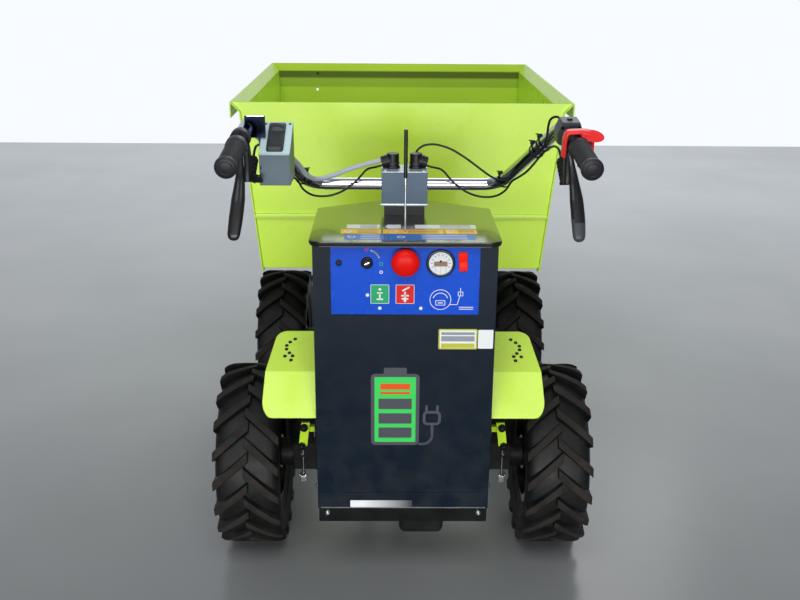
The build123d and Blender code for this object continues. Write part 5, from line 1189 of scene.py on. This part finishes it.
# ---- Throttle: a red moulded saddle over the right bar, with a dished thumb wing.
# Its mouth stays open below, where the return spring sits.
throttle_red = grained("throttle_red", "DE2C2A", 0.32, shade=0.03, grain=700.0, relief=0.08)
throttle = bmesh.new()
along_bar = (0, 1, 0.13)
saddle = smooth_path([from_grip(1, across, 0.1295, up) for across, up in
                      ((-0.0228, -0.0195), (-0.0225, -0.0060), (-0.0220, 0.0120), (-0.0185, 0.0212),
                       (-0.0080, 0.0228), (0.0080, 0.0232), (0.0180, 0.0215), (0.0228, 0.0120),
                       (0.0238, -0.0040), (0.0240, -0.0180))], 4)
shape_into(throttle, swept(saddle, (0.0106, 0.0036), along_bar, 20, 0.55))
# a web fills the corner between the saddle and the thumb wing
root = [from_grip(1, across, 0.1275, up)
        for across, up in ((0.004, 0.0215), (0.014, 0.0205), (0.024, 0.0170), (0.032, 0.0150))]
shape_into(throttle, swept(root, [(0.0100, 0.0050), (0.0098, 0.0062), (0.0090, 0.0060), (0.0070, 0.0040)],
                           along_bar, 20, 0.4))
wing = bmesh.new()
bmesh.ops.create_uvsphere(wing, u_segments=36, v_segments=18, radius=1.0)
half_long, half_wide = 0.0200, 0.0125
bmesh.ops.scale(wing, vec=(half_long, half_wide, 0.0036), verts=wing.verts)
for vert in wing.verts:
    dished = 1 - min(1.0, (vert.co.x / half_long) ** 2 + (vert.co.y / half_wide) ** 2)
    if vert.co.z > 0:
        vert.co.z -= 0.0030 * dished
shape_into(throttle, wing, Matrix.Translation(from_grip(1, 0.0225, 0.1215, 0.0180))
           @ Matrix.Rotation(radians(8), 4, "Y")
           @ Matrix.Rotation(radians(44), 4, "X"))
piece = add_piece("throttle_saddle", throttle, "chassis", "red_plastic", throttle_red, smooth=50.0)
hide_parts("throttle_lever")

# ---- Switch housing: a dark grey moulded shell clamped round the right bar, in two halves.
# Two small screws close it, and a small black button stands toward the thumb.
dark_grey = grained("dark_grey_shell", "34393E", 0.38, shade=0.05, grain=800.0, relief=0.18,
                    round_edge=0.0025)
wear(dark_grey, "switch_housing")
switch_trim = bmesh.new()
for across in (-0.020, 0.008):
    shape_into(switch_trim, button_screw(0.006, 0.002),
               facing(from_grip(1, across, 0.1642, 0.019),
                      from_grip(1, 0, 0, 0) - from_grip(1, 0, 0.1, 0)))
shape_into(switch_trim, turned([(0.0, 0.0), (0.0, 0.0050), (0.0020, 0.0048), (0.0028, 0.0035),
                                (0.0028, 0.0)], 24),
           facing(from_grip(1, -0.006, 0.1820, 0.0278), (0, -0.13, 1)))
add_piece("switch_screws", switch_trim, "chassis", "black_plastic", black_oxide)

# ---- Tip switch: a folded grey-blue box with a slanting lighter lid, and a large black rocker on it.
# A polished bracket with a dark oxide finish holds it to the left bar.
light_blue = grained("light_blue_grey", "BAD3D6", 0.28, shade=0.04, grain=620.0, relief=0.12,
                     round_edge=0.0012)
tip_slate = grained("tip_box_slate", "4A5C66", 0.34, shade=0.05, grain=700.0, relief=0.15,
                    round_edge=0.0018)
wear(tip_slate, "tip_switch_box")
mirror_dark = grained("dark_polished_steel", "191F2E", 0.12, 1.0, shade=0.06, grain=300.0, relief=0.03)
wear(mirror_dark, "switch_bracket")
low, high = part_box("tip_switch_box")
near_wall = 0.055
rise = (high.z - (low.z + near_wall)) / (high.y - low.y)
lid_slope = radians(27.7)
slant = Matrix.Rotation(lid_slope, 4, "X")
top_middle = Vector(((low.x + high.x) / 2, (low.y + high.y) / 2,
                     low.z + near_wall + rise * (high.y - low.y) / 2))
box_lid = bmesh.new()
shape_into(box_lid, card(high.x - low.x, 0.0895, 0.0015, 0.0012), Matrix.Translation(top_middle) @ slant)
lid_rim = slab(high.x - low.x - 0.001, 0.0012, 0.0016, 0.0003)
shape_into(box_lid, lid_rim, at(top_middle.x, low.y - 0.0004, low.z + 0.0542))
add_piece("tip_box_lid", box_lid, "chassis", "grey_box", light_blue)
box_slot = bmesh.new()
shape_into(box_slot, card(0.0022, 0.0060, 0.0004, 0.0005), on_back(low.x + 0.0030, low.z + 0.031, low.y))
for across in (low.x + 0.005, high.x - 0.005):
    shape_into(box_slot, button_screw(0.0055, 0.0018),
               facing((across, high.y - 0.006, high.z - 0.0025), (0, -0.46, 0.88)))
add_piece("tip_box_slot", box_slot, "chassis", "steel", black_oxide)
low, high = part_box("switch_bracket")
bright_edge = bmesh.new()
shape_into(bright_edge, slab(high.x - low.x - 0.004, 0.0034, 0.0018, 0.0004),
           at((low.x + high.x) / 2, low.y + 0.0015, high.z - 0.0003))
add_piece("bracket_ground_edge", bright_edge, "chassis", "chrome", bright_chrome)
low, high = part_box("tip_rocker")
rocker_profile = [(0.000, 0.0030), (0.008, 0.0075), (0.022, 0.0070), (0.036, 0.0068), (0.048, 0.0072),
                  (0.056, 0.0125), (0.066, 0.0120), (0.072, 0.0050)]
rocker = bmesh.new()
middle_x, half_width = (low.x + high.x) / 2, 0.0134
spine = smooth_path([(middle_x, low.y + along * cos(lid_slope), low.z + along * sin(lid_slope) + 0.0015)
                     for along, tall in rocker_profile], 3)
last = len(spine) - 1
heights = [tall for along, tall in rocker_profile]
sizes = []
for step in range(last + 1):
    share = step / last
    width = half_width if share < 0.8 else half_width * max(0.3, 1 - ((share - 0.8) / 0.22) ** 2) ** 0.5
    sizes.append((width, between(heights, share * (len(heights) - 1))))
made = swept(spine, sizes, (1, 0, 0), 28)
squared = 0.55
for vert in made.verts:
    offset = (vert.co.x - middle_x) * (1 + squared)
    vert.co.x = middle_x + max(-half_width, min(half_width, offset))
shape_into(rocker, made)
bezel = card(0.0300, 0.0790, 0.005, 0.0022)
shape_into(rocker, bezel, Matrix.Translation(top_middle + Vector((0, -0.0004, 0.0010))) @ slant)
rocker_grey = grained("rocker_grey", "292D2F", 0.30, shade=0.05, grain=900.0, relief=0.1,
                      round_edge=0.0010)
piece = add_piece("rocker_and_bezel", rocker, "chassis", "black_plastic", rocker_grey, smooth=45.0)
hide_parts("tip_rocker")

# ---- Cables: thin black cords to the levers and the switch, a light grey ribbed conduit to the tip box.
# Nylon ties hold them to the bar, two on the left arm and three on the right.
cable_black = grained("cable_black", "101214", 0.40, shade=0.05, grain=1200.0, relief=0.2)
wear(cable_black, "control_cables")
conduit_grey = grained("conduit_grey", "A9B1B8", 0.36, shade=0.05, grain=1000.0, relief=0.15)
tree, shader = opened(conduit_grey)
coords = add_node(tree, "TexCoord")
ribs = add_node(tree, "TexWave", Scale=150.0, Vector=coords.outputs["Object"])
ribs.bands_direction = "DIAGONAL"
ridge = add_node(tree, "Bump", Strength=0.5, Distance=0.001, Height=ribs.outputs["Fac"],
                 Normal=source_of(shader, "Normal"))
feed(tree, shader, Normal=ridge.outputs["Normal"])
wear(conduit_grey, "tip_switch_conduit")
ties = bmesh.new()
arm_foot = Vector((0.198, -0.390, 0.824))
arm_head = Vector((0.284, -0.640, 0.992))
for side, shares in ((-1, (0.14, 0.62)), (1, (0.10, 0.62, 0.72))):
    foot = on_side(side, arm_foot)
    head = on_side(side, arm_head)
    way = (head - foot).normalized()
    under = Vector((0, 0, -1)) - way * way.dot(Vector((0, 0, -1)))
    under.normalize()
    inward = way.cross(under) * (1 if way.cross(under).x * side < 0 else -1)
    for share in shares:
        middle = foot + (head - foot) * share
        loop = []
        for step in range(33):
            angle = 2 * pi * step / 32
            reach = 0.0134 + 0.0040 * max(0.0, cos(angle - 0.6)) ** 0.6
            loop.append(middle + under * reach * cos(angle) + inward * reach * sin(angle))
        shape_into(ties, swept(loop, (0.0032, 0.0012), way, 8))
        knot = middle - under * 0.0140 + inward * 0.006
        shape_into(ties, slab(0.0085, 0.0070, 0.0085, 0.0010), facing(knot, way))
        tail = [knot, knot - under * 0.0040 + inward * 0.002, knot - under * 0.0050 + inward * 0.007]
        shape_into(ties, swept(tail, (0.0024, 0.0009), way, 8))
add_piece("cable_ties", ties, "chassis", "black_plastic", moulded_black)

# ---- Skip: welded steel sheet, sprayed lime inside and out, with a folded rim and a hem at the rear.
# The side walls lap over the end walls, and continuous welds close the corners.
lime_skip = grained("lime_skip_paint", "C6EC42", 0.30, shade=0.035, grain=520.0, relief=0.10,
                    round_edge=0.0025, Coat_Weight=0.3, Coat_Roughness=0.15)
wear(lime_skip, "skip_side_left", "skip_side_right", "skip_front", "skip_rear", "skip_floor",
     "skip_brackets")
# painted shadow: on its inner face, the strip under the front rim is darkened as if in the rim's shade
lime_front_shaded = grained("lime_front_wall_painted_shade", "BCE040", 0.40, shade=0.035, grain=520.0, relief=0.10,
                     round_edge=0.0025, Specular_IOR_Level=0.1)
tree, shader = opened(lime_front_shaded)
coords = add_node(tree, "TexCoord").outputs
up = add_node(tree, "SeparateXYZ", Vector=coords["Object"]).outputs["Z"]
faces_rear = add_node(tree, "SeparateXYZ", Vector=coords["Normal"]).outputs["Y"]
inside = spread(tree, faces_rear, -0.2, -0.5, 0.0, 1.0)
above = sum_of(tree, "ADD", spread(tree, up, 0.866, 0.870, 0.0, 0.4),
               spread(tree, up, 0.892, 0.898, 0.0, 0.6))
below = spread(tree, up, 0.914, 0.918, 1.0, 0.0)
rim_shadow_mask = sum_of(tree, "MULTIPLY", sum_of(tree, "MULTIPLY", above, below), inside)
lime = source_of(shader, "Base Color")
dust_dulling_and_rim_shadow = add_node(tree, "HueSaturation", Value=0.20, Color=lime)
feed(tree, shader, Base_Color=blended(tree, rim_shadow_mask, lime, dust_dulling_and_rim_shadow.outputs["Color"]))
wear(lime_front_shaded, "skip_front")
# how far a side wall leans outward for each metre of height
SKIP_SLOPE = 0.040 / 0.399


def bead(path, size=0.0030):
    """A weld bead with its run of small ripples."""
    count = max(8, int((Vector(path[1]) - Vector(path[0])).length / 0.006))
    points = [Vector(path[0]).lerp(Vector(path[1]), step / count) for step in range(count + 1)]
    return swept(points, [(size * (1.0 if step % 2 else 0.82),) * 2 for step in range(count + 1)],
                 (0.3, 1, 0.2), 8)


welds = bmesh.new()
floor_x, floor_z, wall_top, outside = 0.354, 0.5215, 0.906, 0.3560
for side in (-1, 1):
    low_x = side * floor_x
    high_x = side * (floor_x + SKIP_SLOPE * 0.390)
    # inside corners of the rear wall, the floor's two edges and the outside of the lapped side wall
    shape_into(welds, bead([(low_x, -0.0060, floor_z), (high_x, -0.0060, wall_top)]))
    shape_into(welds, bead([(low_x, 0.0, floor_z), (low_x, 0.465, floor_z)]))
    shape_into(welds, bead([(side * outside, -0.0112, 0.521),
                            (side * (outside + SKIP_SLOPE * 0.380), -0.0112, 0.900)], 0.0022))
shape_into(welds, bead([(-0.350, -0.0060, 0.5212), (0.350, -0.0060, 0.5212)]))
add_piece("skip_welds", welds, "skip", "lime_paint", lime_skip, smooth=60.0)
# painted highlight: the hem's rolled upper fold is given a paler lime where it takes the light
hem_highlight = grained("lime_hem_highlight", "DDF878", 0.28, shade=0.03, grain=520.0, relief=0.08)
half = 0.357 + SKIP_SLOPE * 0.138 - 0.006
hem = bmesh.new()
shape_into(hem, swept([(-half + 2 * half * step / 12, -0.0168, 0.6578) for step in range(13)],
                      (0.0030, 0.0012), (0, 0, 1), 16, 0.3))
add_piece("skip_hem_roll", hem, "skip", "lime_paint", hem_highlight, smooth=60.0)

# The pivot's pins are zinc plated, with a washer and a chamfered end on each side.
pins = bmesh.new()
bracket_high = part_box("skip_brackets")[1]
for side in (-1, 1):
    shape_into(pins, turned([(-0.001, 0.0), (-0.001, 0.0175), (0.0015, 0.0175), (0.0015, 0.0098),
                             (0.0075, 0.0098), (0.0090, 0.0084), (0.0090, 0.0)], 32),
               facing((side * bracket_high.x, pivot_y, pivot_z), (side, 0, 0)))
add_piece("pivot_pins", pins, "skip", "steel", zinc)

# ---- Actuator: an electric cylinder with a drawn steel tube, its motor alongside and a chromed rod.
# Two plastic rings sit on the tube, and a wiper closes its mouth round the rod.
tube_steel = grained("actuator_steel", "8D9295", 0.32, 0.9, shade=0.08, grain=600.0, relief=0.15,
                     round_edge=0.0015)
wear(tube_steel, "actuator_body")
wear(chrome_tube, "actuator_rod")
start = Vector((0.0, -0.180, 0.315))
way = (Vector((0.0, 0.325, 0.462)) - start).normalized()
fittings = bmesh.new()
for along, radius, tall in ((0.372, 0.0285, 0.010), (0.070, 0.0282, 0.006)):
    ring = turned([(0.0, 0.0262), (0.0, radius), (0.001, radius + 0.0008), (tall, radius + 0.0008),
                   (tall + 0.001, radius), (tall + 0.001, 0.0262), (0.0, 0.0262)], 40)
    shape_into(fittings, ring, facing(start + way * along, way))
wiper = turned([(0.0, 0.0132), (0.0, 0.0230), (0.0030, 0.0222), (0.0055, 0.0160), (0.0060, 0.0134),
                (0.0, 0.0132)], 40)
shape_into(fittings, wiper, facing(start + way * 0.3802, way))
add_piece("actuator_rings", fittings, "actuator_body", "black_plastic", moulded_black)
